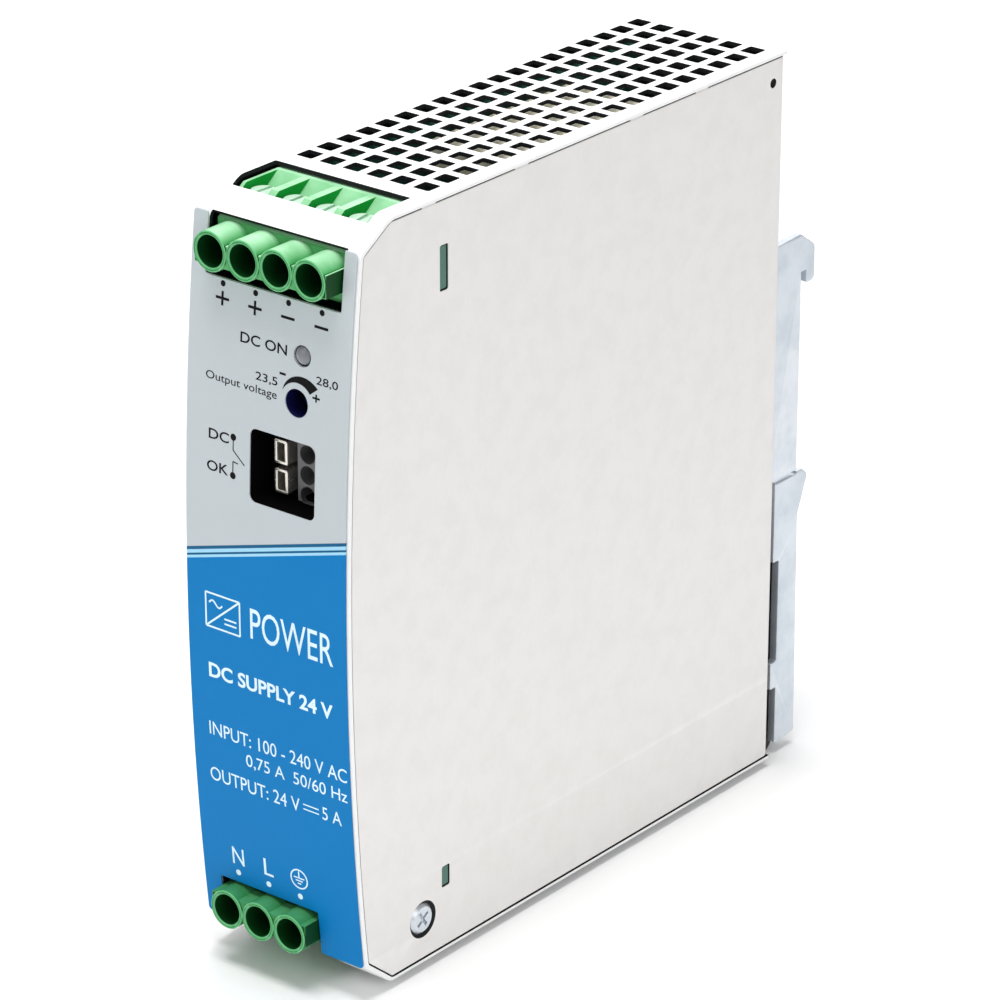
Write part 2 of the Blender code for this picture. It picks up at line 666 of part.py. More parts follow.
def power_stage():
    """The heatsinks with the devices bolted to them, and the rest of the mains and output side."""
    silver = aluminium()
    dark = material("moulded_black", (0.03, 0.03, 0.03), 0.5)
    for name, (y0, y1), (z0, z1), x in (("output_heatsink", (25.0, 54.0), (86.0, 118.0), 11.2),
                                        ("mains_heatsink", (28.0, 60.0), (24.0, 54.0), 10.6)):
        line = fillet([(DECK + 2.0, y0 + 0.9), (x, y0 + 0.9), (x, y1)], [1.6], 3)
        fin = curve_mesh(name, line, False, PLAN_VIEW, extrude=(z1 - z0) / 2)
        fin.data.transform(Matrix.Translation((0, 0, (z1 + z0) / 2 * MM)))
        keep(fin, part, silver)
        sheet = fin.modifiers.new("sheet", "SOLIDIFY")
        sheet.thickness = 1.8 * MM
        sheet.offset = 0
        sheet.use_even_offset = True
    devices = (("output_rectifier", 9.9, 40.0, 100.0), ("switching_transistor", 9.3, 45.0, 38.0))
    for name, x, y, z in devices:
        device = box(name, (x - 4.5, y - 5.0, z - 7.6), (x, y + 5.0, z + 1.4), part, dark)
        combine(device, box(name + "_flange", (x - 1.3, y - 5.0, z), (x, y + 5.0, z + 8.0)), "UNION")
        combine(device, rod(name + "_hole", 1.8, (x - 6, y, z + 5.2), 8, "x", sides=12))
    box("bridge_rectifier", (DECK, 64.0, 26.0), (DECK + 15.0, 67.5, 46.0), part, dark)
    box("mains_capacitor", (DECK, 56.0, 6.0), (DECK + 15.0, 74.0, 15.0), part,
        material("film_yellow", (0.80, 0.62, 0.10), 0.4))
    box("alarm_relay", (DECK, 24.0, 59.5), (DECK + 15.0, 44.0, 69.5), part, dark)
    choke = turned("mains_choke", [(9.6, 4.5), (9.6, -4.5), (4.6, -4.5), (4.6, 4.5), (9.6, 4.5)],
                   material("copper_wire", (0.60, 0.28, 0.12), 0.35, 0.8), part, 24)
    settle(choke)
    choke.data.transform(Matrix.Translation(Vector((DECK + 10.0, 84.0, 24.0)) * MM) @ turn_to("y"))
    ceramic = material("fuse_ceramic", (0.8, 0.78, 0.72), 0.4)
    rod("fuse", 2.6, (DECK + 3.0, 30.0, 10.0), 20.0, "y", part, ceramic)
    can("bulk_capacitor", 11.0, 24.0, 84.0, 52.0, material("black_sleeve", (0.03, 0.03, 0.05), 0.35))
    blue_sleeve = material("blue_sleeve", (0.02, 0.10, 0.25), 0.35)
    for n, y in enumerate((52.0, 64.0)):
        can(f"output_capacitor_{n + 1}", 5.2, 20.0, y, 71.0, blue_sleeve)


def rail_bracket():
    """The fixed half of the rail clip: a plate screwed to the case's back, with two hooked cheeks."""
    zinc = zinc_plate()
    half, inner = BRACKET_X, BRACKET_X - BRACKET_T
    front = CASE_BACK + GAP
    back = front + BRACKET_T
    low, high = HORN_TOP_Z + 0.3, BRACKET_TOP_Z - 1.0
    bracket = box("rail_bracket", (-half, front, low), (half, back, high), part, zinc)
    combine(bracket, box("guide_plate", (-9.0, front, 16.0), (9.0, back, HORN_TOP_Z + 2)), "UNION")
    combine(bracket, box("spring_post", (-1.0, front + 1, 84.6), (1.0, front + 5.6, 86.4)), "UNION")
    tip = SEAT_Y + 3.6
    cheek = fillet([(front, low), (front, 90.8), (112.6, BRACKET_TOP_Z), (tip, 88.4),
                    (tip, 82.2), (SEAT_Y + 1.3, 82.2), (SEAT_Y + 1.3, HOOK_SEAT_Z), (SEAT_Y - 0.1, HOOK_SEAT_Z),
                    (SEAT_Y - 0.1, 80.4), (SEAT_Y, 80.3), (SEAT_Y, low)],
                   [0.8, 1.4, 1.4, 0.9, 0.5, 0, 0, 0, 0], 2)
    for side in (-1, 1):
        low, high = sorted((side * half, side * inner))
        combine(bracket, prism(f"cheek_{side}", cheek, SIDE_VIEW, low, high), "UNION")
    for n, (x, z) in enumerate(BRACKET_SCREWS):
        combine(bracket, rod(f"bracket_clearance_{n}", 1.7, (x, front - 1, z), 6, "y", sides=16))
    return bracket


def rail_latch():
    """The sliding half: a channel whose two horns catch the rail, on a black slide with a release tab."""
    half, inner = BRACKET_X, BRACKET_X - BRACKET_T
    web = (110.9, 112.4)
    slide_front, slide_back = 106.6, 110.6
    jaw = box("latch_jaw", (-half, web[0], 2.0), (half, web[1], HORN_TOP_Z - 4.5), part, zinc_plate())
    rear = SEAT_Y + 0.7
    cheek = fillet([(107.0, HORN_TOP_Z - 0.3), (SEAT_Y + 0.1, HORN_TOP_Z - 0.3), (SEAT_Y + 0.2, HORN_TOP_Z),
                    (SEAT_Y + 1.6, HORN_TOP_Z), (SEAT_Y + 3.3, HORN_TOP_Z - 1.2),
                    (rear, 41.3), (rear, 39.5), (rear + 0.5, 1.1), (110.7, LATCH_LOW_Z), (108.6, LATCH_LOW_Z),
                    (108.6, 11.1), (107.0, 11.1), (107.0, 16.0), (108.6, 16.0), (108.6, 34.5), (107.0, 34.5),
                    (107.0, HORN_TOP_Z - 0.3)][:-1],
                   [0, 0, 0.3, 1.1, 0.6, 0.3, 0.5, 0.5, 0.4, 0, 0, 0, 0, 0, 0], 2)
    for side in (-1, 1):
        low, high = sorted((side * half, side * inner))
        combine(jaw, prism(f"jaw_cheek_{side}", cheek, SIDE_VIEW, low, high), "UNION")
    combine(jaw, rod("latch_eye", 2.2, (0, 109, 8.0), 6, "y", sides=16))
    slide = box("latch_slide", (-12.2, slide_front, 4.0), (12.2, slide_back, 36.0), part, black_plastic())
    tab = [(slide_front + 0.6, TAB_Z + 0.7), (slide_front + 1.4, TAB_Z), (109.3, TAB_Z),
           (slide_back - 0.3, -0.4), (slide_back, 1.0), (slide_back, 6.0), (slide_front, 6.0), (slide_front, 1.0)]
    combine(slide, prism("release_tab", tab, SIDE_VIEW, -12.2, 12.2), "UNION")
    combine(slide, box("slide_boss", (-1.0, slide_front + 0.5, 35), (1.0, slide_back, 50.4)), "UNION")
    return jaw, slide


def latch_spring():
    """The spring that draws the latch up, between the bracket's post and the slide's boss."""
    low, high, radius, wire, turns, steps = 51.2, 84.0, 2.0, 0.3, 11, 7
    points = []
    for n in range(turns * steps + 1):
        turn = 2 * math.pi * n / steps
        points.append((radius * math.cos(turn), 108.9 + radius * math.sin(turn),
                       low + (high - low) * n / (turns * steps)))
    spring = curve_mesh("latch_spring", points, False, Matrix.Identity(4), bevel=wire, flat=False)
    return keep(spring, part, material("spring_steel", (0.6, 0.6, 0.6), 0.3, 1.0))


def bracket_screws():
    for n, (x, z) in enumerate(BRACKET_SCREWS):
        head = CASE_BACK + GAP + BRACKET_T + 0.1
        profile = [(0, 1.5), (1.6, 1.5), (2.6, 0.6), (2.6, 0), (SHANK_R, 0), (SHANK_R, -5.0), (0, -5.2)]
        screw = turned(f"bracket_screw_{n + 1}", profile, zinc_plate(), part, 14)
        for k, size in enumerate(((1.5, 0.25), (0.25, 1.5))):
            combine(screw, box(f"bracket_cross_{n}_{k}", (-size[0], -size[1], 0.7), (size[0], size[1], 3)))
        settle(screw)
        screw.data.transform(Matrix.Translation(Vector((x, head, z)) * MM) @ turn_to("y"))
        shade(screw)


def main():
    clear_scene()
    make_collections()
    make_cover()
    make_label()
    make_chassis()
    for name, side in (("case_screw_right", 1), ("case_screw_left", -1)):
        side_screw(name, side)
    housing("output_terminal_block", OUT_POLES, OUT_X, OUT_ENTRY_Z, 1, green_plastic())
    deep_green = material("input_green", (0.02, 0.33, 0.12), 0.4)
    housing("input_terminal_block", IN_POLES, IN_X, IN_ENTRY_Z, -1, deep_green)
    meshes = pole_meshes()
    terminals("output", OUT_POLES, OUT_X, OUT_ENTRY_Z, 1, meshes)
    terminals("input", IN_POLES, IN_X, IN_ENTRY_Z, -1, meshes)
    alarm_socket()
    status_lamp()
    adjuster()
    front_board()
    main_board()
    transformer()
    power_stage()
    rail_bracket()
    rail_latch()
    latch_spring()
    bracket_screws()
    bpy.context.view_layer.update()


main()
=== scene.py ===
import math

import bmesh
import bpy
from mathutils import Matrix, Vector


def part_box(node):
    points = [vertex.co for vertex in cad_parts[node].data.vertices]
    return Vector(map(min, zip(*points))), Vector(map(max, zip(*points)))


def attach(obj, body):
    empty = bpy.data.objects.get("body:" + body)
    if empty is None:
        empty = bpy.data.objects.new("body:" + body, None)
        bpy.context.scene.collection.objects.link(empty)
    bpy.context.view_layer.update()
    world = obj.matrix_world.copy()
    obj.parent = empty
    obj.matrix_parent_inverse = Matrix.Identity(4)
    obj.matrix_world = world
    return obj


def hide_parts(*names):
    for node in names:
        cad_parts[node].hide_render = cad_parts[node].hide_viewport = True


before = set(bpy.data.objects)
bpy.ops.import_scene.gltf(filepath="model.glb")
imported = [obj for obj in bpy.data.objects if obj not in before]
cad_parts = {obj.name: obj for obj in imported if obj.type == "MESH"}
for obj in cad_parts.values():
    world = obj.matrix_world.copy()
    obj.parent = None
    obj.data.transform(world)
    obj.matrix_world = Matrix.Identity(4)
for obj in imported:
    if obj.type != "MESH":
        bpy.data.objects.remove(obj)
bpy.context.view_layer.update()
print("frame loaded:", len(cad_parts), "solids")

# Pieces are drawn in millimetres in the case's own coordinates: x across, y back from the top corner
# of the front, z up from the underside. toFrame carries them to the CAD's place.
mm = 0.001
caseShape = {"width": 32.0, "height": 125.2, "back": 104.4, "sheet": 0.7, "slantY": 6.2, "slantZ": 121.1,
             "chamferY": 5.2, "chamferZ": 5.0, "topCornerY": -0.5, "lowCornerY": -0.9, "bulge": 3.35}
coverLow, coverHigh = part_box("case_cover")
datum = Vector((0.0, coverHigh.y - caseShape["back"] * mm, coverLow.z))
toFrame = Matrix.Translation(datum) @ Matrix.Scale(mm, 4)


def nodeBox(node):  # a CAD node's corners in the case's millimetres
    low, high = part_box(node)
    back = toFrame.inverted()
    return back @ low, back @ high


def tone(red, green, blue):  # a display colour, 0 to 255, as the linear colour a shader wants
    channels = [c / 255 for c in (red, green, blue)]
    return tuple(c / 12.92 if c <= 0.04045 else ((c + 0.055) / 1.055) ** 2.4 for c in channels) + (1.0,)


def put(tree, kind, inputs=None, **settings):
    node = tree.nodes.new(kind)
    for key, value in settings.items():
        setattr(node, key, value)
    for key, value in (inputs or {}).items():
        if isinstance(value, bpy.types.NodeSocket):
            tree.links.new(value, node.inputs[key])
        else:
            node.inputs[key].default_value = value
    return node


def maths(tree, operation, first, second=0.0, third=0.0, clamp=False):
    node = put(tree, "ShaderNodeMath", {0: first, 1: second}, operation=operation, use_clamp=clamp)
    if operation in ("MULTIPLY_ADD", "COMPARE"):
        node.inputs[2].default_value = third
    return node.outputs[0]


def blendColours(tree, factor, first, second, mode="MIX"):
    node = put(tree, "ShaderNodeMix", {0: factor, 6: first, 7: second}, data_type="RGBA", blend_type=mode)
    return node.outputs[2]


def newGroup(name, treeKind, inputs, outputs):
    group = bpy.data.node_groups.new(name, treeKind)
    for label, kind, value in inputs:
        socket = group.interface.new_socket(label, in_out="INPUT", socket_type=kind)
        if value is not None:
            socket.default_value = value
    for label, kind in outputs:
        group.interface.new_socket(label, in_out="OUTPUT", socket_type=kind)
    return group, group.nodes.new("NodeGroupInput").outputs, group.nodes.new("NodeGroupOutput").inputs


def surfaceGrainGroup():  # patches and fine grain, stretched where the material was rolled or drawn
    group, given, result = newGroup(
        "surface grain", "ShaderNodeTree",
        [("Colour", "NodeSocketColor", (0.8, 0.8, 0.8, 1)),
         ("Patch Colour", "NodeSocketColor", (0.7, 0.7, 0.7, 1)), ("Patch Scale", "NodeSocketFloat", 80.0),
         ("Patch Amount", "NodeSocketFloat", 0.5), ("Grain Scale", "NodeSocketFloat", 1500.0),
         ("Grain Amount", "NodeSocketFloat", 0.1), ("Stretch", "NodeSocketVector", (1, 1, 1)),
         ("Roughness", "NodeSocketFloat", 0.4), ("Roughness Spread", "NodeSocketFloat", 0.1)],
        [("Colour", "NodeSocketColor"), ("Roughness", "NodeSocketFloat"), ("Height", "NodeSocketFloat")])
    place = put(group, "ShaderNodeTexCoord").outputs["Object"]
    drawn = put(group, "ShaderNodeVectorMath", {0: place, 1: given["Stretch"]},
                operation="MULTIPLY").outputs[0]
    patches = put(group, "ShaderNodeTexNoise", {"Vector": place, "Scale": given["Patch Scale"], "Detail": 5.0,
                                                "Roughness": 0.62}).outputs[0]
    grain = put(group, "ShaderNodeTexNoise", {"Vector": drawn, "Scale": given["Grain Scale"], "Detail": 3.0,
                                              "Roughness": 0.6}).outputs[0]
    spots = put(group, "ShaderNodeMapRange", {0: patches, 1: 0.38, 2: 0.68}, interpolation_type="SMOOTHSTEP")
    mask = maths(group, "MULTIPLY", spots.outputs[0], given["Patch Amount"], clamp=True)
    patched = blendColours(group, mask, given["Colour"], given["Patch Colour"])
    centred = maths(group, "SUBTRACT", grain, 0.5)
    speck = maths(group, "ADD", maths(group, "MULTIPLY", centred, given["Grain Amount"]), 1.0)
    white = put(group, "ShaderNodeCombineColor", {0: speck, 1: speck, 2: speck}).outputs[0]
    group.links.new(blendColours(group, 1.0, patched, white, "MULTIPLY"), result["Colour"])
    uneven = maths(group, "MULTIPLY", maths(group, "ADD", centred, maths(group, "SUBTRACT", patches, 0.5)),
                   given["Roughness Spread"])
    group.links.new(maths(group, "ADD", given["Roughness"], uneven, clamp=True), result["Roughness"])
    group.links.new(grain, result["Height"])
    return group


def edgeWearGroup():  # outer edges painted a little brighter, broken up so that no edge is even: a little rubbing, and on the green mouldings a painted highlight along the edges
    group, given, result = newGroup(
        "edge wear", "ShaderNodeTree",
        [("Colour", "NodeSocketColor", (0.8, 0.8, 0.8, 1)), ("Worn Colour", "NodeSocketColor", (1, 1, 1, 1)),
         ("Amount", "NodeSocketFloat", 0.3)], [("Colour", "NodeSocketColor")])
    point = put(group, "ShaderNodeNewGeometry").outputs["Pointiness"]
    place = put(group, "ShaderNodeTexCoord").outputs["Object"]
    broken = put(group, "ShaderNodeTexNoise", {"Vector": place, "Scale": 420.0, "Detail": 3.0}).outputs[0]
    edge = put(group, "ShaderNodeMapRange", {0: point, 1: 0.53, 2: 0.62}).outputs[0]
    mask = maths(group, "MULTIPLY", maths(group, "MULTIPLY", edge, broken), given["Amount"], clamp=True)
    group.links.new(blendColours(group, mask, given["Colour"], given["Worn Colour"]), result["Colour"])
    return group


def settledDustGroup():  # a thin dusty veil on faces that look up; on the green mouldings it is a pale painted highlight on the upper faces
    group, given, result = newGroup(
        "settled dust", "ShaderNodeTree",
        [("Colour", "NodeSocketColor", (0.8, 0.8, 0.8, 1)),
         ("Dust Colour", "NodeSocketColor", (0.5, 0.48, 0.44, 1)),
         ("Amount", "NodeSocketFloat", 0.1)], [("Colour", "NodeSocketColor")])
    normal = put(group, "ShaderNodeNewGeometry").outputs["Normal"]
    upward = put(group, "ShaderNodeSeparateXYZ", {0: normal}).outputs[2]
    place = put(group, "ShaderNodeTexCoord").outputs["Object"]
    cloud = put(group, "ShaderNodeTexNoise", {"Vector": place, "Scale": 160.0, "Detail": 6.0}).outputs[0]
    facing = put(group, "ShaderNodeMapRange", {0: upward, 1: 0.5, 2: 1.0}).outputs[0]
    mask = maths(group, "MULTIPLY", maths(group, "MULTIPLY", facing, cloud), given["Amount"], clamp=True)
    group.links.new(blendColours(group, mask, given["Colour"], given["Dust Colour"]), result["Colour"])
    return group


surfaceGrain, edgeWear, settledDust = surfaceGrainGroup(), edgeWearGroup(), settledDustGroup()

plainLook = {"colour": (128, 128, 128), "patch": None, "patchScale": 90.0, "patchAmount": 0.35,
             "grainScale": 2200.0, "grainAmount": 0.08, "stretch": (1, 1, 1), "roughness": 0.45,
             "spread": 0.12, "metallic": 0.0, "worn": None, "wear": 0.0, "dust": 0.0,
             "dustColour": (188, 184, 176), "bump": 0.00002, "bumpStrength": 0.25, "coat": 0.0,
             "coatRoughness": 0.12, "specular": 0.5, "subsurface": 0.0, "scatter": (0.0012, 0.0015, 0.0008)}


def finishMaterial(name, **changes):
    look = {**plainLook, **changes}
    material = bpy.data.materials.new(name)
    material.use_nodes = True
    tree = material.node_tree
    shader = tree.nodes["Principled BSDF"]
    own = look["colour"]
    patch = look["patch"] or [c * 0.86 for c in own]
    worn = look["worn"] or [min(255, c * 1.25 + 20) for c in own]
    grain = put(tree, "ShaderNodeGroup", {
        "Colour": tone(*own), "Patch Colour": tone(*patch), "Patch Scale": look["patchScale"],
        "Patch Amount": look["patchAmount"], "Grain Scale": look["grainScale"],
        "Grain Amount": look["grainAmount"],
        "Stretch": look["stretch"], "Roughness": look["roughness"], "Roughness Spread": look["spread"]},
        node_tree=surfaceGrain).outputs
    colour = look.get("print", lambda tree, under: under)(tree, grain["Colour"])
    for group, socket, tint, amount in ((edgeWear, "Worn Colour", worn, look["wear"]),
                                        (settledDust, "Dust Colour", look["dustColour"], look["dust"])):
        if amount:
            colour = put(tree, "ShaderNodeGroup", {"Colour": colour, socket: tone(*tint), "Amount": amount},
                         node_tree=group).outputs[0]
    relief = put(tree, "ShaderNodeBump", {"Strength": look["bumpStrength"], "Distance": look["bump"],
                                          "Height": grain["Height"]}).outputs[0]
    for socket, source in (("Base Color", colour), ("Roughness", grain["Roughness"]), ("Normal", relief)):
        tree.links.new(source, shader.inputs[socket])
    for socket, value in (("Metallic", "metallic"), ("Coat Weight", "coat"),
                          ("Coat Roughness", "coatRoughness"), ("Specular IOR Level", "specular"),
                          ("Subsurface Weight", "subsurface"), ("Subsurface Radius", "scatter")):
        shader.inputs[socket].default_value = look[value]
    return material


labelPrint = {"top": 72.58, "rise": 0.2915, "blue": (0, 121, 188), "dark": (24, 92, 134),
              "pale": (160, 214, 240), "grey": (190, 198, 202), "steps": (0.0, -0.54, -1.12, -1.46, -1.9),
              "span": 4.0, "below": 3.0}


def printedFields(tree, under):  # blue below and grey above, parted by four slanting lines
    look = labelPrint
    place = put(tree, "ShaderNodeSeparateXYZ", {0: put(tree, "ShaderNodeTexCoord").outputs["Object"]}).outputs
    line = maths(tree, "MULTIPLY_ADD", place[0], -look["rise"], -(look["top"] * mm + datum.z))
    height = maths(tree, "ADD", line, place[2])
    span = look["span"] * mm
    where = maths(tree, "MULTIPLY_ADD", height, 1 / span, look["below"] * mm / span, clamp=True)
    ramp = put(tree, "ShaderNodeValToRGB", {0: where})
    ramp.color_ramp.interpolation = "CONSTANT"
    colours = [look[n] for n in ("blue", "pale", "dark", "pale", "dark", "grey")]
    stops = [0.0] + [(step + look["below"]) / look["span"] for step in look["steps"][::-1]]
    band = ramp.color_ramp.elements
    while len(band) < len(stops):
        band.new(0.99)
    for element, stop, colour in zip(band, stops, colours):
        element.position = stop
        element.color = tone(*colour)
    return blendColours(tree, 1.0, ramp.outputs[0], under, "MULTIPLY")


paints = {
    "cover": finishMaterial("white powder paint", colour=(240, 241, 241), patchAmount=0.12, roughness=0.4,
                            coat=0.05, grainScale=3200, grainAmount=0.03, bump=0.00003, wear=0.2, dust=0.04),
    "panel": finishMaterial("bare rolled sheet", colour=(228, 226, 224), patch=(216, 213, 210),
                            patchScale=240, patchAmount=0.25, grainScale=1500, grainAmount=0.05,
                            stretch=(1, 1, 0.7), roughness=0.5, spread=0.14, metallic=0.2, wear=0.3,
                            bump=0.00002, bumpStrength=0.25),
    "label": finishMaterial("printed overlay film", colour=(255, 255, 255), patchAmount=0.02, roughness=0.5,
                            grainScale=2600, grainAmount=0.02, bump=0.000015, specular=0.12,
                            print=printedFields),
    "ink": finishMaterial("black print", colour=(14, 12, 14), roughness=0.6, specular=0.1),
    "paleInk": finishMaterial("pale print", colour=(222, 246, 255), roughness=0.5, specular=0.2),
    "zinc": finishMaterial("bright zinc plating", colour=(206, 213, 220), patch=(176, 186, 198),
                           patchScale=140, patchAmount=0.5, roughness=0.34, metallic=0.75, wear=0.3,
                           grainAmount=0.06),
    # the veil and edge colours of this green are a pale painted highlight on the moulding's upper faces and
    # edges
    "green": finishMaterial("green moulded terminal", colour=(22, 140, 56), patchAmount=0.1, roughness=0.42,
                            specular=0.3, wear=0.4, worn=(170, 240, 186), grainScale=3000, grainAmount=0.05,
                            dust=1.15, dustColour=(190, 240, 200)),
    # the same green moulding in painted shade, for the lower block; its veil and edge colours are painted
    # highlights
    "darkGreen": finishMaterial("deep green moulded terminal", colour=(6, 112, 50), patchAmount=0.12,
                                roughness=0.42, specular=0.3, wear=0.35, worn=(120, 214, 146),
                                grainScale=3000, grainAmount=0.05, dust=0.4, dustColour=(120, 200, 140)),
    # a painted highlight on the front rims of the green moulding
    "rim": finishMaterial("pale moulded rim", colour=(84, 172, 108), patchAmount=0.15, roughness=0.4,
                          specular=0.3, wear=0.4, worn=(186, 246, 198), grainAmount=0.05),
    # painted shade inside the bores and on the side walls in front
    "bore": finishMaterial("shaded green bore", colour=(6, 62, 22), patchAmount=0.1, roughness=0.5,
                           specular=0.2, grainAmount=0.05),
    # a pale green painted reflection of the moulding on the screw heads
    "screwHead": finishMaterial("plated terminal screw", colour=(192, 222, 200), patch=(160, 196, 170),
                                patchScale=300, patchAmount=0.6, roughness=0.45, metallic=0.3,
                                grainAmount=0.1),
    # painted shade on the inner faces and the walls of openings in the sheets
    "shade": finishMaterial("unpainted inner face", colour=(34, 35, 37), roughness=0.7, specular=0.1,
                            grainAmount=0.1),
    "pit": finishMaterial("unlit socket moulding", colour=(5, 5, 6), roughness=0.8, specular=0.04,
                          grainAmount=0.2),
    # painted shade on the side walls of the wells
    "wellSide": finishMaterial("saturated green side wall", colour=(6, 152, 52), patchAmount=0.1,
                               roughness=0.5, specular=0.12, grainAmount=0.05),
    "coreTape": finishMaterial("cream core tape", colour=(252, 248, 226), patch=(244, 236, 196),
                               patchAmount=0.6, roughness=0.5, grainAmount=0.03),
    "black": finishMaterial("black moulding", colour=(20, 20, 21), roughness=0.5, grainScale=4000,
                            grainAmount=0.2, bumpStrength=0.5, wear=0.2, worn=(70, 70, 72)),
    "greyMoulding": finishMaterial("grey moulded key wall", colour=(106, 106, 108), roughness=0.5,
                                   grainAmount=0.15),
    "tin": finishMaterial("tinned contact", colour=(226, 222, 212), roughness=0.26, metallic=0.9, wear=0.2),
    "steel": finishMaterial("drawn steel", colour=(176, 176, 178), roughness=0.3, metallic=1.0,
                            stretch=(1, 1, 0.1)),
    "board": finishMaterial("board with solder mask", colour=(44, 98, 84), patch=(58, 116, 98),
                            roughness=0.34, coat=0.2, grainAmount=0.12),
    "film": finishMaterial("insulating film", colour=(224, 226, 220), roughness=0.3, grainAmount=0.03),
    "ferrite": finishMaterial("ground ferrite", colour=(46, 44, 46), roughness=0.6, grainAmount=0.25,
                              grainScale=2600, metallic=0.1),
    "tape": finishMaterial("polyester winding tape", colour=(238, 226, 176), patch=(222, 206, 148),
                           patchAmount=0.6, roughness=0.32, coat=0.25, stretch=(1, 1, 0.15)),
    "aluminium": finishMaterial("mill aluminium", colour=(212, 213, 215), roughness=0.36, metallic=0.85,
                                stretch=(1, 1, 0.06), grainAmount=0.2, spread=0.2),
    "copper": finishMaterial("enamelled copper", colour=(190, 108, 52), roughness=0.28, metallic=0.8,
                             coat=0.4),
    "ceramic": finishMaterial("glazed ceramic", colour=(226, 220, 204), roughness=0.25, coat=0.4),
    "yellowBox": finishMaterial("yellow moulded capacitor", colour=(222, 178, 58), roughness=0.35, coat=0.2),
    "sleeve": finishMaterial("shrunk dark sleeve", colour=(26, 28, 40), roughness=0.32, coat=0.25),
    "lamp": finishMaterial("diffused lamp lens", colour=(122, 125, 132), roughness=0.28, coat=0.5,
                           subsurface=0.3, grainAmount=0.02),
    "blue": finishMaterial("blue adjuster moulding", colour=(24, 44, 150), roughness=0.4),
    "rotor": finishMaterial("dark adjuster rotor", colour=(12, 12, 74), roughness=0.42),
}
print("materials made:", len(paints))


def frontY(z):  # the bulged front, an arc through its two ends
    shape = caseShape
    middle, half = (shape["slantZ"] + shape["chamferZ"]) / 2, (shape["slantZ"] - shape["chamferZ"]) / 2
    radius = (half ** 2 + shape["bulge"] ** 2) / (2 * shape["bulge"])
    lean = (shape["topCornerY"] - shape["lowCornerY"]) / (2 * half)
    chord = shape["lowCornerY"] + lean * (z - shape["chamferZ"])
    return chord - shape["bulge"] + radius - math.sqrt(radius ** 2 - (z - middle) ** 2)


def rounded(points, radii, steps=6, closed=False):  # an outline with its corners rounded
    count = len(points)
    radii = radii if isinstance(radii, (list, tuple)) else [radii] * count
    out = []
    for n, radius in enumerate(radii):
        corner = Vector(points[n])
        if radius <= 0 or (not closed and n in (0, count - 1)):
            out.append(tuple(corner))
            continue
        a = (Vector(points[n - 1]) - corner).normalized()
        b = (Vector(points[(n + 1) % count]) - corner).normalized()
        half = a.angle(b) / 2
        centre = corner + (a + b).normalized() * radius / math.sin(half)
        first = corner + a * radius / math.tan(half) - centre
        sweep = first.angle_signed(corner + b * radius / math.tan(half) - centre)
        out += [tuple(centre + Matrix.Rotation(-sweep * k / steps, 2) @ first) for k in range(steps + 1)]
    return out


def frameOutline(x0, x1, z0, z1, radius=0.0, steps=6):
    corners = [(x0, z0), (x1, z0), (x1, z1), (x0, z1)]
    return rounded(corners, radius, steps, closed=True) if radius else corners


def ring(x, z, radius, steps=32):
    return [(x + radius * math.cos(2 * math.pi * n / steps), z + radius * math.sin(2 * math.pi * n / steps))
            for n in range(steps)]


sideView = Matrix(((0, 0, 1, 0), (1, 0, 0, 0), (0, 1, 0, 0), (0, 0, 0, 1)))    # outline (y, z), depth x
frontView = Matrix(((1, 0, 0, 0), (0, 0, -1, 0), (0, 1, 0, 0), (0, 0, 0, 1)))  # outline (x, z), depth -y
planView = Matrix.Identity(4)                                                 # outline (x, y), depth z
turns = {"x": Matrix.Rotation(math.pi / 2, 4, "Y"), "-x": Matrix.Rotation(-math.pi / 2, 4, "Y"),
         "y": Matrix.Rotation(-math.pi / 2, 4, "X"), "-y": Matrix.Rotation(math.pi / 2, 4, "X"),
         "z": Matrix.Identity(4), "-z": Matrix.Rotation(math.pi, 4, "X")}


def evaluated(obj):  # an object's mesh with its modifiers applied, the object removed
    bpy.context.view_layer.update()
    mesh = bpy.data.meshes.new_from_object(obj.evaluated_get(bpy.context.evaluated_depsgraph_get()))
    bpy.data.objects.remove(obj, do_unlink=True)
    return mesh


def linked(name, data):
    obj = bpy.data.objects.new(name, data)
    bpy.context.scene.collection.objects.link(obj)
    return obj


def toMesh(shape, name="work"):  # a working shape as a mesh
    mesh = bpy.data.meshes.new(name)
    shape.to_mesh(mesh)
    shape.free()
    return mesh


def toShape(mesh, weld=None):  # a mesh as a working shape, with its doubles merged if asked
    shape = bmesh.new()
    shape.from_mesh(mesh)
    bpy.data.meshes.remove(mesh)
    if weld:
        bmesh.ops.remove_doubles(shape, verts=shape.verts, dist=weld)
    return shape


def cutAcross(shape, spot, way):  # a row of edges where a plane meets the shape
    bmesh.ops.bisect_plane(shape, geom=shape.verts[:] + shape.edges[:] + shape.faces[:], dist=0.0002,
                           plane_co=spot, plane_no=way)


def addMesh(into, mesh, matrix=None, paint=0, weld=0.0005, outward=True):  # a mesh laid into a shape
    part = toShape(mesh, weld)
    if outward:
        bmesh.ops.recalc_face_normals(part, faces=part.faces)
    if matrix:
        bmesh.ops.transform(part, matrix=matrix, verts=part.verts)
    for face in part.faces:
        face.material_index = paint
        face.smooth = True
    shape = bmesh.new() if into is None else into
    mesh = toMesh(part)
    shape.from_mesh(mesh)
    bpy.data.meshes.remove(mesh)
    return shape


def outlineCurve(loops):
    data = bpy.data.curves.new("outline", "CURVE")
    data.dimensions = "2D"
    for loop in loops:
        spline = data.splines.new("POLY")
        spline.points.add(len(loop) - 1)
        for spot, point in zip(spline.points, loop):
            spot.co = (*point, 0, 1)
        spline.use_cyclic_u = True
    return data


def thicken(data, thick, round):  # a filled outline as a sheet of a thickness with its edges rounded
    data.fill_mode = "BOTH"
    data.extrude = thick / 2 - round
    data.bevel_depth = round
    data.bevel_resolution = 1
    data.offset = -round
    return data


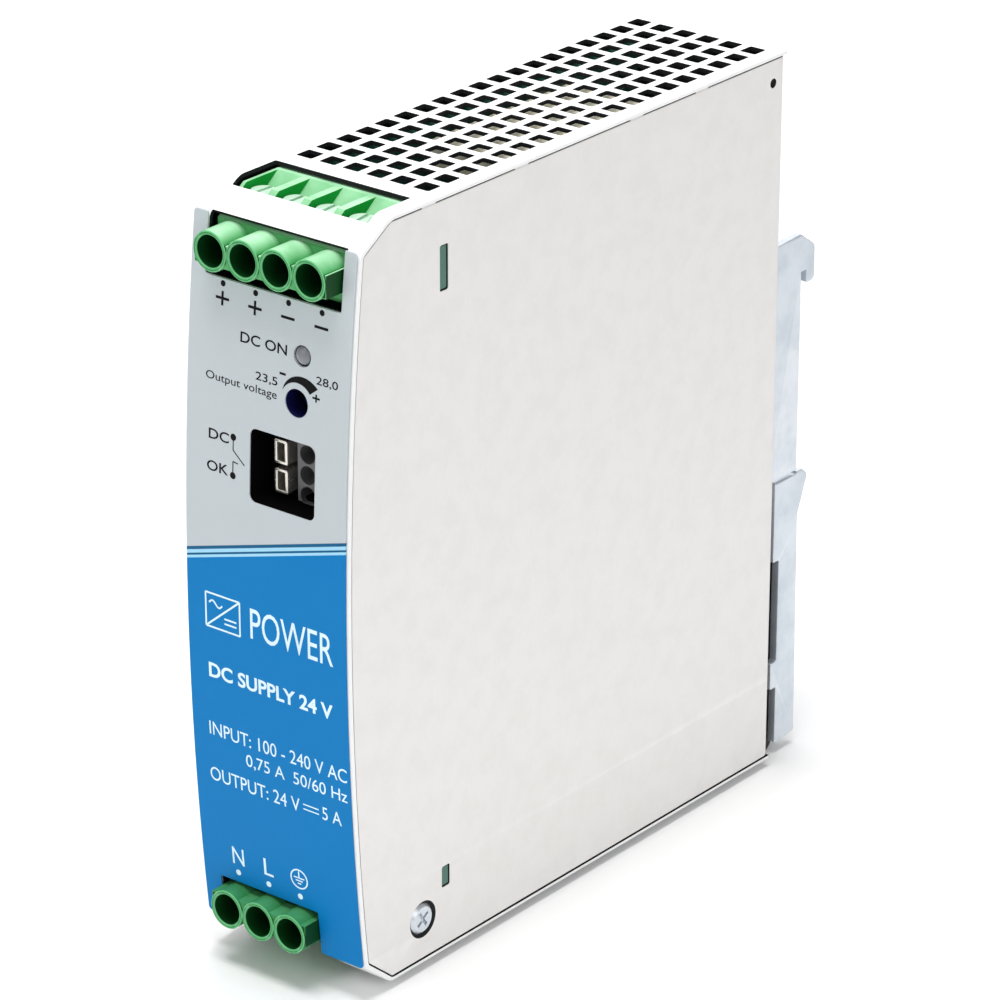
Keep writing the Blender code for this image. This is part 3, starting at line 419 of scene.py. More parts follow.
def plate(loops, view, low, high, round=0.15, paint=0, into=None):  # a sheet between two depths of a view
    data = thicken(outlineCurve(loops), high - low, min(round, (high - low) / 2 - 0.001))
    shift = Matrix.Translation(Vector((view[0][2], view[1][2], view[2][2])) * (low + high) / 2)
    return addMesh(into, evaluated(linked("plate", data)), shift @ view, paint)


def block(low, high, round=0.15, paint=0, into=None):  # a box with its edges rounded
    part = bmesh.new()
    bmesh.ops.create_cube(part, size=1)
    size = [b - a for a, b in zip(low, high)]
    place = Matrix.Translation([(a + b) / 2 for a, b in zip(low, high)]) @ Matrix.Diagonal((*size, 1))
    bmesh.ops.transform(part, matrix=place, verts=part.verts)
    if round:
        bmesh.ops.bevel(part, geom=list(part.edges), offset=min(round, min(size) / 2.5), segments=2,
                        profile=0.6, affect="EDGES", clamp_overlap=True)
    return addMesh(into, toMesh(part), None, paint)


def turned(profile, base, axis="z", sides=40, paint=0, into=None, closed=False):  # radius and height spun
    part = bmesh.new()
    rings = []
    for radius, height in profile:
        if radius < 1e-6:
            rings.append([part.verts.new((0, 0, height))])
        else:
            rings.append([part.verts.new((x, y, height)) for x, y in ring(0, 0, radius, sides)])
    pairs = list(zip(rings, rings[1:])) + ([(rings[-1], rings[0])] if closed else [])
    for first, second in pairs:
        for n in range(sides):
            m = (n + 1) % sides
            corners = [first[n % len(first)], first[m % len(first)], second[m % len(second)],
                       second[n % len(second)]]
            kept = [v for k, v in enumerate(corners) if v not in corners[:k]]
            if len(kept) > 2:
                part.faces.new(kept)
    return addMesh(into, toMesh(part), Matrix.Translation(base) @ turns[axis], paint, weld=0.00001)


def pipe(points, radius, paint=0, into=None, closed=False):  # a round wire through its points
    data = bpy.data.curves.new("pipe", "CURVE")
    data.dimensions = "3D"
    data.bevel_depth = radius
    data.bevel_resolution = 2
    data.use_fill_caps = not closed
    spline = data.splines.new("POLY")
    spline.points.add(len(points) - 1)
    for spot, point in zip(spline.points, points):
        spot.co = (*point, 1)
    spline.use_cyclic_u = closed
    return addMesh(into, evaluated(linked("pipe", data)), None, paint, weld=0.00001)


def asObject(shape, name="work"):
    return linked(name, toMesh(shape, name))


def carved(shape, *cutters, operation="DIFFERENCE"):  # a shape with others cut from it or joined to it
    obj = asObject(shape)
    helpers = [asObject(cutter, "cutter") for cutter in cutters]
    for helper in helpers:
        step = obj.modifiers.new("cut", "BOOLEAN")
        step.operation = operation
        step.solver = "EXACT"
        step.use_self = operation == "UNION"
        step.object = helper
    mesh = evaluated(obj)
    for helper in helpers:
        bpy.data.objects.remove(helper, do_unlink=True)
    return toShape(mesh, 0.0005)


def softened(shape, width=0.1, segments=2, angle=35):  # every sharp edge rounded
    obj = asObject(shape)
    step = obj.modifiers.new("round", "BEVEL")
    step.width = width
    step.segments = segments
    step.limit_method = "ANGLE"
    step.angle_limit = math.radians(angle)
    step.use_clamp_overlap = True
    return toShape(evaluated(obj))


def piece(name, shape, body, materials, nodes=(), sharp=32):  # finished, in place and on its body
    for face in shape.faces:
        face.smooth = True
    mesh = toMesh(shape, name)
    mesh.transform(toFrame)
    kept = [face.material_index for face in mesh.polygons]
    mesh.materials.clear()
    for material in materials:
        mesh.materials.append(paints[material])
    mesh.polygons.foreach_set("material_index", kept if len(materials) > 1 else [0] * len(kept))
    mesh.set_sharp_from_angle(angle=math.radians(sharp))
    obj = linked(name, mesh)
    level = obj.modifiers.new("level", "WEIGHTED_NORMAL")  # keeps large faces flat beside rounded edges
    level.keep_sharp = True
    obj = linked(name, evaluated(obj))
    obj.name = obj.data.name = name
    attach(obj, body)
    if nodes:
        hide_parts(*nodes)
    return obj


def useTree(obj, tree, **values):  # puts a node tree on an object with its own sizes
    step = obj.modifiers.new(tree.name, "NODES")
    step.node_group = tree
    for item in tree.interface.items_tree:
        if item.item_type == "SOCKET" and item.in_out == "INPUT" and item.name in values:
            step[item.identifier] = values[item.name]
    return obj


def joined(tree, *parts):
    join = put(tree, "GeometryNodeJoinGeometry")
    for part in parts:
        tree.links.new(part, join.inputs[0])
    return join.outputs[0]


def finishTree(tree, geometry, material, result):  # every tree ends with real geometry and its material
    real = put(tree, "GeometryNodeRealizeInstances", {0: geometry}).outputs[0]
    painted = put(tree, "GeometryNodeSetMaterial", {"Geometry": real, "Material": material}).outputs[0]
    tree.links.new(painted, result[0])
    return tree


def perforatedSheetTree():  # outlines laid flat, square holes added in two fields, then given a thickness
    sizes = [("Geometry", "NodeSocketGeometry", None), ("HoleSize", "NodeSocketFloat", 3.0),
             ("HoleRound", "NodeSocketFloat", 0.3), ("Pitch", "NodeSocketFloat", 4.5),
             ("Columns", "NodeSocketInt", 6), ("Rows", "NodeSocketInt", 19),
             ("Middle", "NodeSocketFloat", 0.0), ("FirstField", "NodeSocketFloat", 0.0),
             ("SecondField", "NodeSocketFloat", 0.0), ("Thickness", "NodeSocketFloat", 1.0),
             ("Sheet", "NodeSocketMaterial", None)]
    tree, given, result = newGroup("perforated sheet", "GeometryNodeTree", sizes,
                                   [("Geometry", "NodeSocketGeometry")])
    hole = put(tree, "GeometryNodeCurvePrimitiveQuadrilateral", {0: given["HoleSize"], 1: given["HoleSize"]})
    filleted = put(tree, "GeometryNodeFilletCurve", {"Curve": hole.outputs[0], "Radius": given["HoleRound"],
                                                     "Count": 2}, mode="POLY").outputs[0]
    span = [maths(tree, "MULTIPLY", maths(tree, "SUBTRACT", given[count], 1.0), given["Pitch"])
            for count in ("Rows", "Columns")]
    grid = put(tree, "GeometryNodeMeshGrid", {0: span[0], 1: span[1], 2: given["Rows"], 3: given["Columns"]})
    fields = []
    for field in ("SecondField", "FirstField"):
        centre = maths(tree, "ADD", given[field], maths(tree, "MULTIPLY", span[0], 0.5))
        place = put(tree, "ShaderNodeCombineXYZ", {0: centre, 1: given["Middle"]}).outputs[0]
        moved = put(tree, "GeometryNodeTransform", {"Geometry": grid.outputs[0], "Translation": place})
        fields.append(moved.outputs[0])
    holes = put(tree, "GeometryNodeInstanceOnPoints", {"Points": joined(tree, *fields), "Instance": filleted})
    cut = put(tree, "GeometryNodeRealizeInstances", {0: holes.outputs[0]}).outputs[0]
    flat = joined(tree, cut, given["Geometry"])
    filled = put(tree, "GeometryNodeFillCurve", {"Curve": flat}, mode="TRIANGLES").outputs[0]
    raised = put(tree, "GeometryNodeExtrudeMesh", {"Mesh": filled, "Offset Scale": given["Thickness"],
                                                   "Individual": False}).outputs[0]
    under = put(tree, "GeometryNodeFlipFaces", {0: filled}).outputs[0]
    both = joined(tree, raised, under)
    welded = put(tree, "GeometryNodeMergeByDistance", {"Geometry": both, "Distance": 0.0005}).outputs[0]
    return finishTree(tree, welded, given["Sheet"], result)


trees = {"sheet": perforatedSheetTree()}


cover = {"corners": (4.0, 1.8, 1.8, 2.0), "halfWidth": 16.0, "edgeRound": 0.4, "hole": 3.05,
         "holeRound": 0.28, "pitch": 4.51, "columns": 6, "rows": 19, "middle": 0.75, "firstRow": 19.4,
         "outputFront": (-12.9, 13.4, 112.0, 121.45), "outputTop": (-12.8, 13.3, 4.4, 14.2),
         "inputFront": (-12.35, 7.45, 12.2, 14.2), "lamp": (6.5, 103.85, 1.65), "adjuster": (5.7, 96.4, 2.2),
         "socket": (-3.1, 9.6, 78.75, 90.45, 1.2), "collar": 0.45,
         "ear": ((9.0, 1.0), (17.4, 1.0), (17.4, 9.4), (15.4, 11.6), (10.8, 11.6), (9.0, 9.8)),
         "earHole": (13.05, 7.6, 1.6), "earDepths": (2.4, 1.4)}


def caseLine(steps=40):  # the outer profile from the top back edge round the front to the lower back edge
    shape = caseShape
    high, low = shape["slantZ"], shape["chamferZ"]
    heights = [high + (low - high) * n / steps for n in range(steps + 1)]
    arc = [(frontY(z), z) for z in heights]
    start, end = (shape["back"], shape["height"]), (shape["back"], 0.0)
    a, b, c, d = cover["corners"]
    upper = rounded([start, (shape["slantY"], shape["height"]), arc[0], arc[1]], (0, a, b, 0), 8)
    lower = rounded([arc[-2], arc[-1], (shape["chamferY"], 0.0), end], (0, c, d, 0), 8)
    return [Vector(p) for p in upper[:-1] + arc[2:-2] + lower[1:]]


def lengths(line):
    out = [0.0]
    for a, b in zip(line, line[1:]):
        out.append(out[-1] + (b - a).length)
    return out


def lengthAt(line, along, axis, value, part):  # where a stretch of the line crosses a value
    for (a, b), start, end in zip(zip(line, line[1:]), along, along[1:]):
        if not part(a, b) or (a[axis] - value) * (b[axis] - value) > 0 or abs(a[axis] - b[axis]) < 1e-9:
            continue
        return start + (end - start) * (value - a[axis]) / (b[axis] - a[axis])
    raise ValueError(f"the line never reaches {value}")


def foldSheet(mesh, line, along, round, halfWidth):  # bends a flat sheet along a line
    sheet = toShape(mesh)
    for length in along[1:-1]:
        cutAcross(sheet, (length, 0, 0), (1, 0, 0))
    cuts = [round * f for f in (1.0, 0.55, 0.2)] if round else []
    for side in (-1, 1):
        for cut in cuts:
            cutAcross(sheet, (0, side * (halfWidth - cut), 0), (0, 1, 0))
    normals = []
    for n in range(len(line)):
        ways = [(line[m + 1] - line[m]).normalized() for m in (n - 1, n) if 0 <= m < len(line) - 1]
        way = sum(ways, Vector((0, 0))).normalized()
        spread = way.dot(ways[0])
        normals.append(Vector((-way.y, way.x)) / spread)
    for vert in sheet.verts:
        length, x, depth = vert.co
        k = min(max(sum(1 for s in along if s <= length + 1e-6) - 1, 0), len(line) - 2)
        t = (length - along[k]) / (along[k + 1] - along[k])
        edge = abs(x) - (halfWidth - round)
        if round and edge > 0 and depth < 0.01:
            depth += round - math.sqrt(max(round ** 2 - edge ** 2, 0.0))
        spot = line[k].lerp(line[k + 1], t) + normals[k].lerp(normals[k + 1], t) * depth
        vert.co = (x, spot.x, spot.y)
    bmesh.ops.recalc_face_normals(sheet, faces=sheet.faces)
    return sheet


def makeCover():
    look, line = cover, caseLine()
    along = lengths(line)
    front = lambda a, b: min(a.y, b.y) > 3 and max(a.y, b.y) < 122.5 and a.x < 3
    top = lambda a, b: min(a.y, b.y) > caseShape["height"] - 0.01
    slant = lambda a, b: a.y > 121.5
    low = lambda a, b: b.y < 0.01
    at = lambda axis, value, part: lengthAt(line, along, axis, value, part)
    x0, x1, z0, z1 = look["outputFront"]
    openings = [frameOutline(at(1, z1, front), at(1, z0, front), x0, x1, 0.25)]
    x0, x1, y0, y1 = look["outputTop"]
    openings.append(frameOutline(at(0, y1, top), at(0, y0, slant), x0, x1, 0.25))
    x0, x1, z1, y1 = look["inputFront"]
    openings.append(frameOutline(at(1, z1, front), at(0, y1, low), x0, x1, 0.25))
    x, z, radius = look["lamp"]
    openings.append(ring(at(1, z, front), x, radius))
    # the adjuster and socket openings are widened for linings of painted shade
    x, z, radius = look["adjuster"]
    openings.append(ring(at(1, z, front), x, radius + look["collar"]))
    x0, x1, z0, z1, radius = look["socket"]
    c = look["collar"]
    openings.append(frameOutline(at(1, z1 + c, front), at(1, z0 - c, front), x0 - c, x1 + c, radius))
    half, total = look["halfWidth"], along[-1]
    flat = linked("flat pattern", outlineCurve([frameOutline(0, total, -half, half)] + openings))
    lastRow = look["firstRow"] + (look["rows"] - 1) * look["pitch"]
    useTree(flat, trees["sheet"], HoleSize=look["hole"], HoleRound=look["holeRound"], Pitch=look["pitch"],
            Columns=look["columns"], Rows=look["rows"], Middle=look["middle"],
            FirstField=caseShape["back"] - lastRow, SecondField=at(0, look["firstRow"], low),
            Thickness=caseShape["sheet"], Sheet=paints["cover"])
    mesh = evaluated(flat)
    for face in mesh.polygons:  # painted shade: the inner face and the walls of the openings are painted dark
        edge = abs(face.center.y) > half - 0.01 or not 0.01 < face.center.x < total - 0.01
        face.material_index = 1 if face.center.z > 0.01 and not edge else 0
    shape = foldSheet(mesh, line, along, look["edgeRound"], half)
    for side in (-1, 1):  # ears that take the side screws
        low, high = sorted(side * (half - depth) for depth in look["earDepths"])
        plate([look["ear"], ring(*look["earHole"], 20)], sideView, low, high, 0.1, into=shape)
    return piece("case_cover_sheet", shape, "case", ["cover", "shade"], ["case_cover"], 28)


makeCover()
print("cover folded")


label = {"halfWidth": 15.7, "low": 4.87, "film": 0.25, "gap": 0.1, "ink": 0.02}


def wrapFront(shape, step=2.5):  # carries a flat layer, drawn in x and z, on to the bulged front
    heights = [v.co.z for v in shape.verts]
    z = math.ceil(min(heights) / step) * step
    while z < max(heights):
        cutAcross(shape, (0, 0, z), (0, 0, 1))
        z += step
    for vert in shape.verts:
        vert.co.y += frontY(min(max(vert.co.z, 4.5), 121.6)) - label["gap"]
    return shape


def makeLabel():
    half, low = label["halfWidth"], label["low"]
    x0, x1, z0, high = cover["outputFront"]
    u0, u1, w1 = cover["inputFront"][:3]
    outline = [(-half, low), (u0, low), (u0, w1), (u1, w1), (u1, low), (half, low), (half, high), (x1, high),
               (x1, z0), (x0, z0), (x0, high), (-half, high)]
    outline = rounded(outline, (0.6, 0.2, 0.3, 0.3, 0.2, 0.6, 0.6, 0.2, 0.3, 0.3, 0.2, 0.6), 4, closed=True)
    u, v, r = cover["lamp"], cover["adjuster"], cover["socket"]
    holes = [ring(*u, 40), ring(*v, 48), frameOutline(*r, 8)]
    film = plate([outline] + holes, frontView, 0, label["film"], 0.06)
    return piece("front_label_film", wrapFront(film), "case", ["label"], ["front_label"], 25)


def markLayer(mesh, shape, paint):
    lift = Matrix.Translation((0, -label["film"] - label["ink"] / 2, 0)) @ frontView
    return addMesh(shape, mesh, lift, paint, weld=0.0002)


def markOutline(shape, loops, paint=0):
    data = outlineCurve(loops)
    data.fill_mode = "BOTH"
    data.extrude = label["ink"] / 2
    return markLayer(evaluated(linked("mark", data)), shape, paint)


def markLine(shape, points, width, paint=0):  # a drawn line of even width
    for (x0, z0), (x1, z1) in zip(points, points[1:]):
        side = Vector((z0 - z1, x1 - x0)).normalized() * width / 2
        markOutline(shape, [[(x0 - side.x, z0 - side.y), (x1 - side.x, z1 - side.y),
                             (x1 + side.x, z1 + side.y), (x0 + side.x, z0 + side.y)]], paint)


def markText(shape, words, x0, x1, z0, z1, paint=0, weight=0.0):  # words fitted between four limits
    data = bpy.data.curves.new("words", "FONT")
    data.body = words
    data.size = 2.0
    data.offset = weight
    data.resolution_u = 4
    data.extrude = label["ink"] / 2
    mesh = evaluated(linked("words", data))
    xs, zs = [v.co.x for v in mesh.vertices], [v.co.y for v in mesh.vertices]
    wide, tall = (x1 - x0) / (max(xs) - min(xs)), (z1 - z0) / (max(zs) - min(zs))
    mesh.transform(Matrix.Translation((x0, z0, 0)) @ Matrix.Diagonal((wide, tall, 1, 1))
                   @ Matrix.Translation((-min(xs), -min(zs), 0)))
    return markLayer(mesh, shape, paint)


marks = {
    "poles": (-9.3, -2.95, 3.42, 9.85), "dotZ": 111.25, "dot": 0.47, "signZ": 108.97, "arm": 1.3,
    "stroke": 0.42,
    "wedge": (5.75, 96.45, 3.15, 1.85, 152, 38), "wedgeSteps": 30,
    "words": (("DC ON", -5.5, 3.55, 103.2, 104.85, 0.02), ("23,5", -2.3, 1.95, 97.95, 99.45, 0.01),
              ("28,0", 9.35, 13.5, 100.1, 101.55, 0.01), ("Output voltage", -12.0, 1.9, 95.7, 97.35, 0.0),
              ("DC", -11.2, -7.2, 86.75, 88.4, 0.02), ("OK", -11.5, -7.3, 81.65, 83.3, 0.02)),
    "strokes": ((0.35, (2.3, 100.3), (3.5, 100.3)), (0.3, (8.75, 98.1), (10.15, 98.1)),
                (0.3, (9.45, 97.5), (9.45, 97.95)), (0.3, (9.45, 98.25), (9.45, 98.7)),
                (0.18, (-6.35, 87.5), (-6.35, 86.0), (-4.1, 84.1)),
                (0.18, (-6.35, 82.5), (-6.35, 84.2), (-5.35, 84.05))),
    "contactDots": ((-6.35, 88.05), (-6.35, 81.95)), "contactDot": 0.55,
    "mains": ((-8.5, 13.98), (-2.3, 13.98), (4.1, 13.98)), "mainsDot": 0.5, "earth": (4.15, 17.1, 1.75),
    "paleWords": (("N", -9.45, -7.1, 15.45, 18.45, 0.0), ("L", -3.0, -1.15, 15.55, 18.5, 0.0),
                  ("POWER", -3.1, 13.2, 56.3, 61.4, 0.0), ("DC SUPPLY 24 V", -11.8, 12.9, 47.4, 49.9, 0.05),
                  ("INPUT: 100 - 240 V AC", -12.3, 15.2, 37.4, 39.7, 0.0),
                  ("0,75 A  50/60 Hz", -5.1, 15.1, 33.7, 36.1, 0.0),
                  ("OUTPUT: 24 V", -12.7, 5.4, 29.35, 31.7, 0.0), ("5 A", 9.9, 13.7, 29.6, 31.8, 0.0)),
    "rectifier": (-12.0, -5.2, 56.0, 61.6), "wave": (-11.3, 60.0, 2.6, 0.5),
    "bars": ((0.28, -8.3, -5.9, 57.2), (0.28, -8.3, -5.9, 58.0), (0.2, 6.1, 9.2, 30.2),
             (0.2, 6.1, 9.2, 31.0))}


def makeMarks():
    look, shape = marks, bmesh.new()
    arm, stroke, z = look["arm"], look["stroke"], look["signZ"]
    for n, x in enumerate(look["poles"]):
        markOutline(shape, [ring(x, look["dotZ"], look["dot"], 20)])
        markLine(shape, [(x - arm, z), (x + arm, z)], stroke)
        if n < 2:  # the first two are plus signs
            markLine(shape, [(x, z - arm * 0.85), (x, z - stroke / 2)], stroke)
            markLine(shape, [(x, z + stroke / 2), (x, z + arm * 0.85)], stroke)
    for words, x0, x1, z0, z1, weight in look["words"]:
        markText(shape, words, x0, x1, z0, z1, weight=weight)
    for width, *points in look["strokes"]:
        markLine(shape, points, width)
    for x, z in look["contactDots"]:
        markOutline(shape, [ring(x, z, look["contactDot"], 24)])
    cx, cz, inside, growth, start, end = look["wedge"]  # the adjuster's range, wider towards its end
    steps = look["wedgeSteps"]
    turn = [math.radians(start + (end - start) * n / steps) for n in range(steps + 1)]
    reach = [inside + growth * n / steps for n in range(steps + 1)]
    outside = [(cx + r * math.cos(a), cz + r * math.sin(a)) for r, a in zip(reach, turn)]
    lower = inside - 0.02
    markOutline(shape, [outside + [(cx + lower * math.cos(a), cz + lower * math.sin(a)) for a in turn[::-1]]])
    makePaleMarks(shape)
    return piece("label_marks", wrapFront(shape), "case", ["ink", "paleInk"], (), 25)


def makePaleMarks(shape):  # on the blue: what the supply takes and gives, the mains poles and the earth sign
    look = marks
    for words, x0, x1, z0, z1, weight in look["paleWords"]:
        markText(shape, words, x0, x1, z0, z1, 1, weight)
    for x, z in look["mains"]:
        markOutline(shape, [ring(x, z, look["mainsDot"], 20)], 1)
    x, z, radius = look["earth"]
    markOutline(shape, [ring(x, z, radius, 40), ring(x, z, radius - 0.24, 40)], 1)
    markLine(shape, [(x, z + radius - 0.35), (x, z + 0.3)], 0.22, 1)
    for half, drop in ((1.05, 0.2), (0.7, -0.3), (0.35, -0.8)):
        markLine(shape, [(x - half, z + drop), (x + half, z + drop)], 0.2, 1)
    x0, x1, z0, z1 = look["rectifier"]
    for line in (((x0, z0), (x1, z0)), ((x1, z0), (x1, z1)), ((x1, z1), (x0, z1)), ((x0, z1), (x0, z0)),
                 ((x0, z0), (x1, z1))):
        markLine(shape, line, 0.3, 1)
    x, z, wide, tall = look["wave"]
    wave = [(x + wide * n / 12, z + tall * math.sin(2 * math.pi * n / 12)) for n in range(13)]
    markLine(shape, wave, 0.28, 1)
    for width, x0, x1, z in look["bars"]:
        markLine(shape, [(x0, z), (x1, z)], width, 1)


makeLabel()
makeMarks()
print("label printed")


chassis = {"half": 15.9, "sheet": 1.0, "corner": 1.4, "inset": 0.95, "edgeRound": 0.12,
           "slots": ((17.7, 19.6, 110.05, 117.25), (17.7, 19.6, 11.15, 14.75)), "screw": (13.05, 7.6, 3.35),
           "dimple": (101.06, 120.4, 0.95), "tabs": (15.2, 37.0, 65.3, 82.0),
           "bracketHoles": ((-7.5, 70), (7.5, 70))}


def insetOutline(points, distance):  # moves an open line inwards, edge by edge
    out = []
    for n in range(1, len(points) - 1):
        a, b, c = Vector(points[n - 1]), Vector(points[n]), Vector(points[n + 1])
        first, second = (b - a).normalized(), (c - b).normalized()
        normal = (Vector((-first.y, first.x)) + Vector((-second.y, second.x))).normalized()
        out.append(b + normal * distance / normal.dot(Vector((-second.y, second.x))))
    return out


def makeChassis():
    look, shape = chassis, caseShape
    high, low = shape["slantZ"], shape["chamferZ"]
    heights = [high + (low - high) * n / 30 for n in range(31)]
    arc = [(frontY(z), z) for z in heights]
    line = [(200, shape["height"]), (shape["slantY"], shape["height"])] + arc
    line += [(shape["chamferY"], 0), (200, 0)]
    radii = [0.8, 0.8] + [0] * 29 + [0.8, 0.8]
    front = rounded([tuple(p) for p in insetOutline(line, look["inset"])], radii, 4)
    front[0], front[-1] = (front[0][0], shape["height"] - look["inset"]), (front[-1][0], look["inset"])
    half, back = look["half"], shape["back"]
    plan = [Vector(p) for p in rounded([(half, -6), (half, back), (-half, back), (-half, -6)],
                                       (0, look["corner"], look["corner"], 0), 8)]
    along = lengths(plan)
    toRight, toLeft = (lambda y: y + 6), (lambda y: along[-1] - y - 6)
    outline = [(toRight(y), z) for y, z in front[::-1]] + [(toLeft(y), z) for y, z in front]
    holes = []
    for side in (toRight, toLeft):
        for y0, y1, z0, z1 in look["slots"]:
            holes.append(frameOutline(*sorted((side(y0), side(y1))), z0, z1, 0.3, 4))
        y, z, radius = look["screw"]
        holes.append(ring(side(y), z, radius, 48))
        y, z, radius = look["dimple"]
        holes.append(ring(side(y), z, radius, 24))
    middle = along[-1] / 2
    holes += [ring(middle + x, z, 1.9, 24) for x, z in look["bracketHoles"]]
    pattern = thicken(outlineCurve([outline] + holes), look["sheet"], look["edgeRound"])
    flat = evaluated(linked("flat pattern", pattern))
    flat.transform(Matrix.Translation((0, 0, look["sheet"] / 2)))
    folded = foldPlan(toMesh(toShape(flat, 0.0005)), plan, along)
    for side in (-1, 1):
        for tab in look["tabs"]:
            x0, x1 = sorted((side * (half - 0.95), side * (half - 0.05)))
            top = shape["height"] - look["inset"]
            block((x0, tab - 1.6, top - 0.3), (x1, tab + 1.6, top + 0.17), 0.06, into=folded)
        outwards = "x" if side > 0 else "-x"
        y, z, radius = look["screw"]
        dish = [(radius + 0.12, -0.02), (radius - 0.25, -0.05), (radius - 0.75, -0.42), (1.9, -0.72),
                (1.9, -1.0), (radius + 0.12, -1.0)]
        turned(dish, (side * half, y, z), outwards, 48, into=folded, closed=True)
        y, z, radius = look["dimple"]
        cup = [(radius + 0.1, -0.03), (radius - 0.15, -0.08), (radius - 0.4, -0.45), (0, -0.55), (0, -0.9),
               (radius + 0.1, -0.9)]
        turned(cup, (side * half, y, z), outwards, 28, into=folded, closed=True)
    for face in folded.faces:  # painted shade: the inside faces are painted dark
        spot = face.calc_center_median()
        if abs(spot.x) < half - 0.2 and spot.y < back - 0.2:
            face.material_index = 1
    return piece("chassis_sheet", folded, "case", ["panel", "shade"], ["case_chassis"], 28)


def foldPlan(mesh, line, along):  # folds a flat pattern, upright, round the corners seen from above
    folded = foldSheet(mesh, line, along, 0, 0)
    for vert in folded.verts:
        z, x, y = vert.co
        vert.co = (x, y, z)
    bmesh.ops.recalc_face_normals(folded, faces=folded.faces)
    return folded


makeChassis()
print("chassis folded")


def screwTree():  # a turned head with a slot or a cross, on a threaded shank, pointing up
    sizes = [("Geometry", "NodeSocketGeometry", None), ("HeadRadius", "NodeSocketFloat", 2.0),
             ("HeadHeight", "NodeSocketFloat", 1.2), ("Dome", "NodeSocketFloat", 0.2),
             ("ShankRadius", "NodeSocketFloat", 1.4), ("ShankLength", "NodeSocketFloat", 3.0),
             ("ThreadPitch", "NodeSocketFloat", 0.5), ("SlotLength", "NodeSocketFloat", 6.0),
             ("SlotWidth", "NodeSocketFloat", 0.7), ("SlotDepth", "NodeSocketFloat", 0.6),
             ("Cross", "NodeSocketBool", False), ("Metal", "NodeSocketMaterial", None)]
    tree, given, result = newGroup("screw", "GeometryNodeTree", sizes, [("Geometry", "NodeSocketGeometry")])

    def raised(geometry, height):
        place = put(tree, "ShaderNodeCombineXYZ", {2: height}).outputs[0]
        return put(tree, "GeometryNodeTransform", {"Geometry": geometry, "Translation": place}).outputs[0]

    def coned(low, high, height, base, sides=32):
        cone = put(tree, "GeometryNodeMeshCone", {"Radius Top": high, "Radius Bottom": low, "Depth": height})
        cone.inputs["Vertices"].default_value = sides
        return raised(cone.outputs[0], base)

    dome, flat = given["Dome"], maths(tree, "SUBTRACT", given["HeadHeight"], given["Dome"])
    side = coned(given["HeadRadius"], given["HeadRadius"], flat, 0.0)
    cap = coned(given["HeadRadius"], maths(tree, "SUBTRACT", given["HeadRadius"], dome), dome, flat)
    under = maths(tree, "MULTIPLY", given["ShankLength"], -1.0)
    core = maths(tree, "SUBTRACT", given["ShankRadius"], maths(tree, "MULTIPLY", given["ThreadPitch"], 0.5))
    shank = coned(core, core, maths(tree, "ADD", given["ShankLength"], 0.05), under, 24)
    count = maths(tree, "FLOOR", maths(tree, "DIVIDE", given["ShankLength"], given["ThreadPitch"]))
    negative = maths(tree, "MULTIPLY", given["ThreadPitch"], -1.0)
    down = put(tree, "ShaderNodeCombineXYZ", {2: negative}).outputs[0]
    row = put(tree, "GeometryNodeMeshLine", {"Count": count, "Start Location": (0, 0, 0), "Offset": down})
    half = maths(tree, "MULTIPLY", given["ThreadPitch"], -0.5)
    upper = coned(given["ShankRadius"], core, maths(tree, "MULTIPLY", half, -0.98), half, 24)
    lower = coned(core, given["ShankRadius"], maths(tree, "MULTIPLY", half, -0.98),
                  maths(tree, "MULTIPLY", half, 1.98), 24)
    ridge = joined(tree, upper, lower)
    thread = put(tree, "GeometryNodeInstanceOnPoints", {"Points": row.outputs[0], "Instance": ridge})
    blank = put(tree, "GeometryNodeMeshBoolean", operation="UNION", solver="EXACT")
    for part in (side, cap):
        tree.links.new(part, blank.inputs["Mesh 2"])
    bar = maths(tree, "MULTIPLY", given["SlotDepth"], 2.0)
    length, width = given["SlotLength"], given["SlotWidth"]
    sizes = [put(tree, "ShaderNodeCombineXYZ", {0: a, 1: b, 2: bar}).outputs[0]
             for a, b in ((length, width), (width, length))]
    cuts = [put(tree, "GeometryNodeMeshCube", {0: size}) for size in sizes]
    second = raised(cuts[1].outputs[0], given["HeadHeight"])
    crossed = put(tree, "GeometryNodeSwitch", {"Switch": given["Cross"], "True": second},
                  input_type="GEOMETRY")
    cut = put(tree, "GeometryNodeMeshBoolean", {"Mesh 1": blank.outputs[0]}, operation="DIFFERENCE",
              solver="EXACT")
    for part in (raised(cuts[0].outputs[0], given["HeadHeight"]), crossed.outputs[0]):
        tree.links.new(part, cut.inputs["Mesh 2"])
    return finishTree(tree, joined(tree, cut.outputs[0], shank, thread.outputs[0]), given["Metal"], result)


trees["screw"] = screwTree()


def screwShape(matrix, into=None, **sizes):
    mesh = evaluated(useTree(linked("screw", bpy.data.meshes.new("screw")), trees["screw"], **sizes))
    mesh.materials.clear()
    shape = softened(toShape(mesh, 0.0002), 0.05, 1, 50)
    bmesh.ops.transform(shape, matrix=matrix, verts=shape.verts)
    return shape if into is None else addMesh(into, toMesh(shape), None, 1, 0.00001, outward=False)


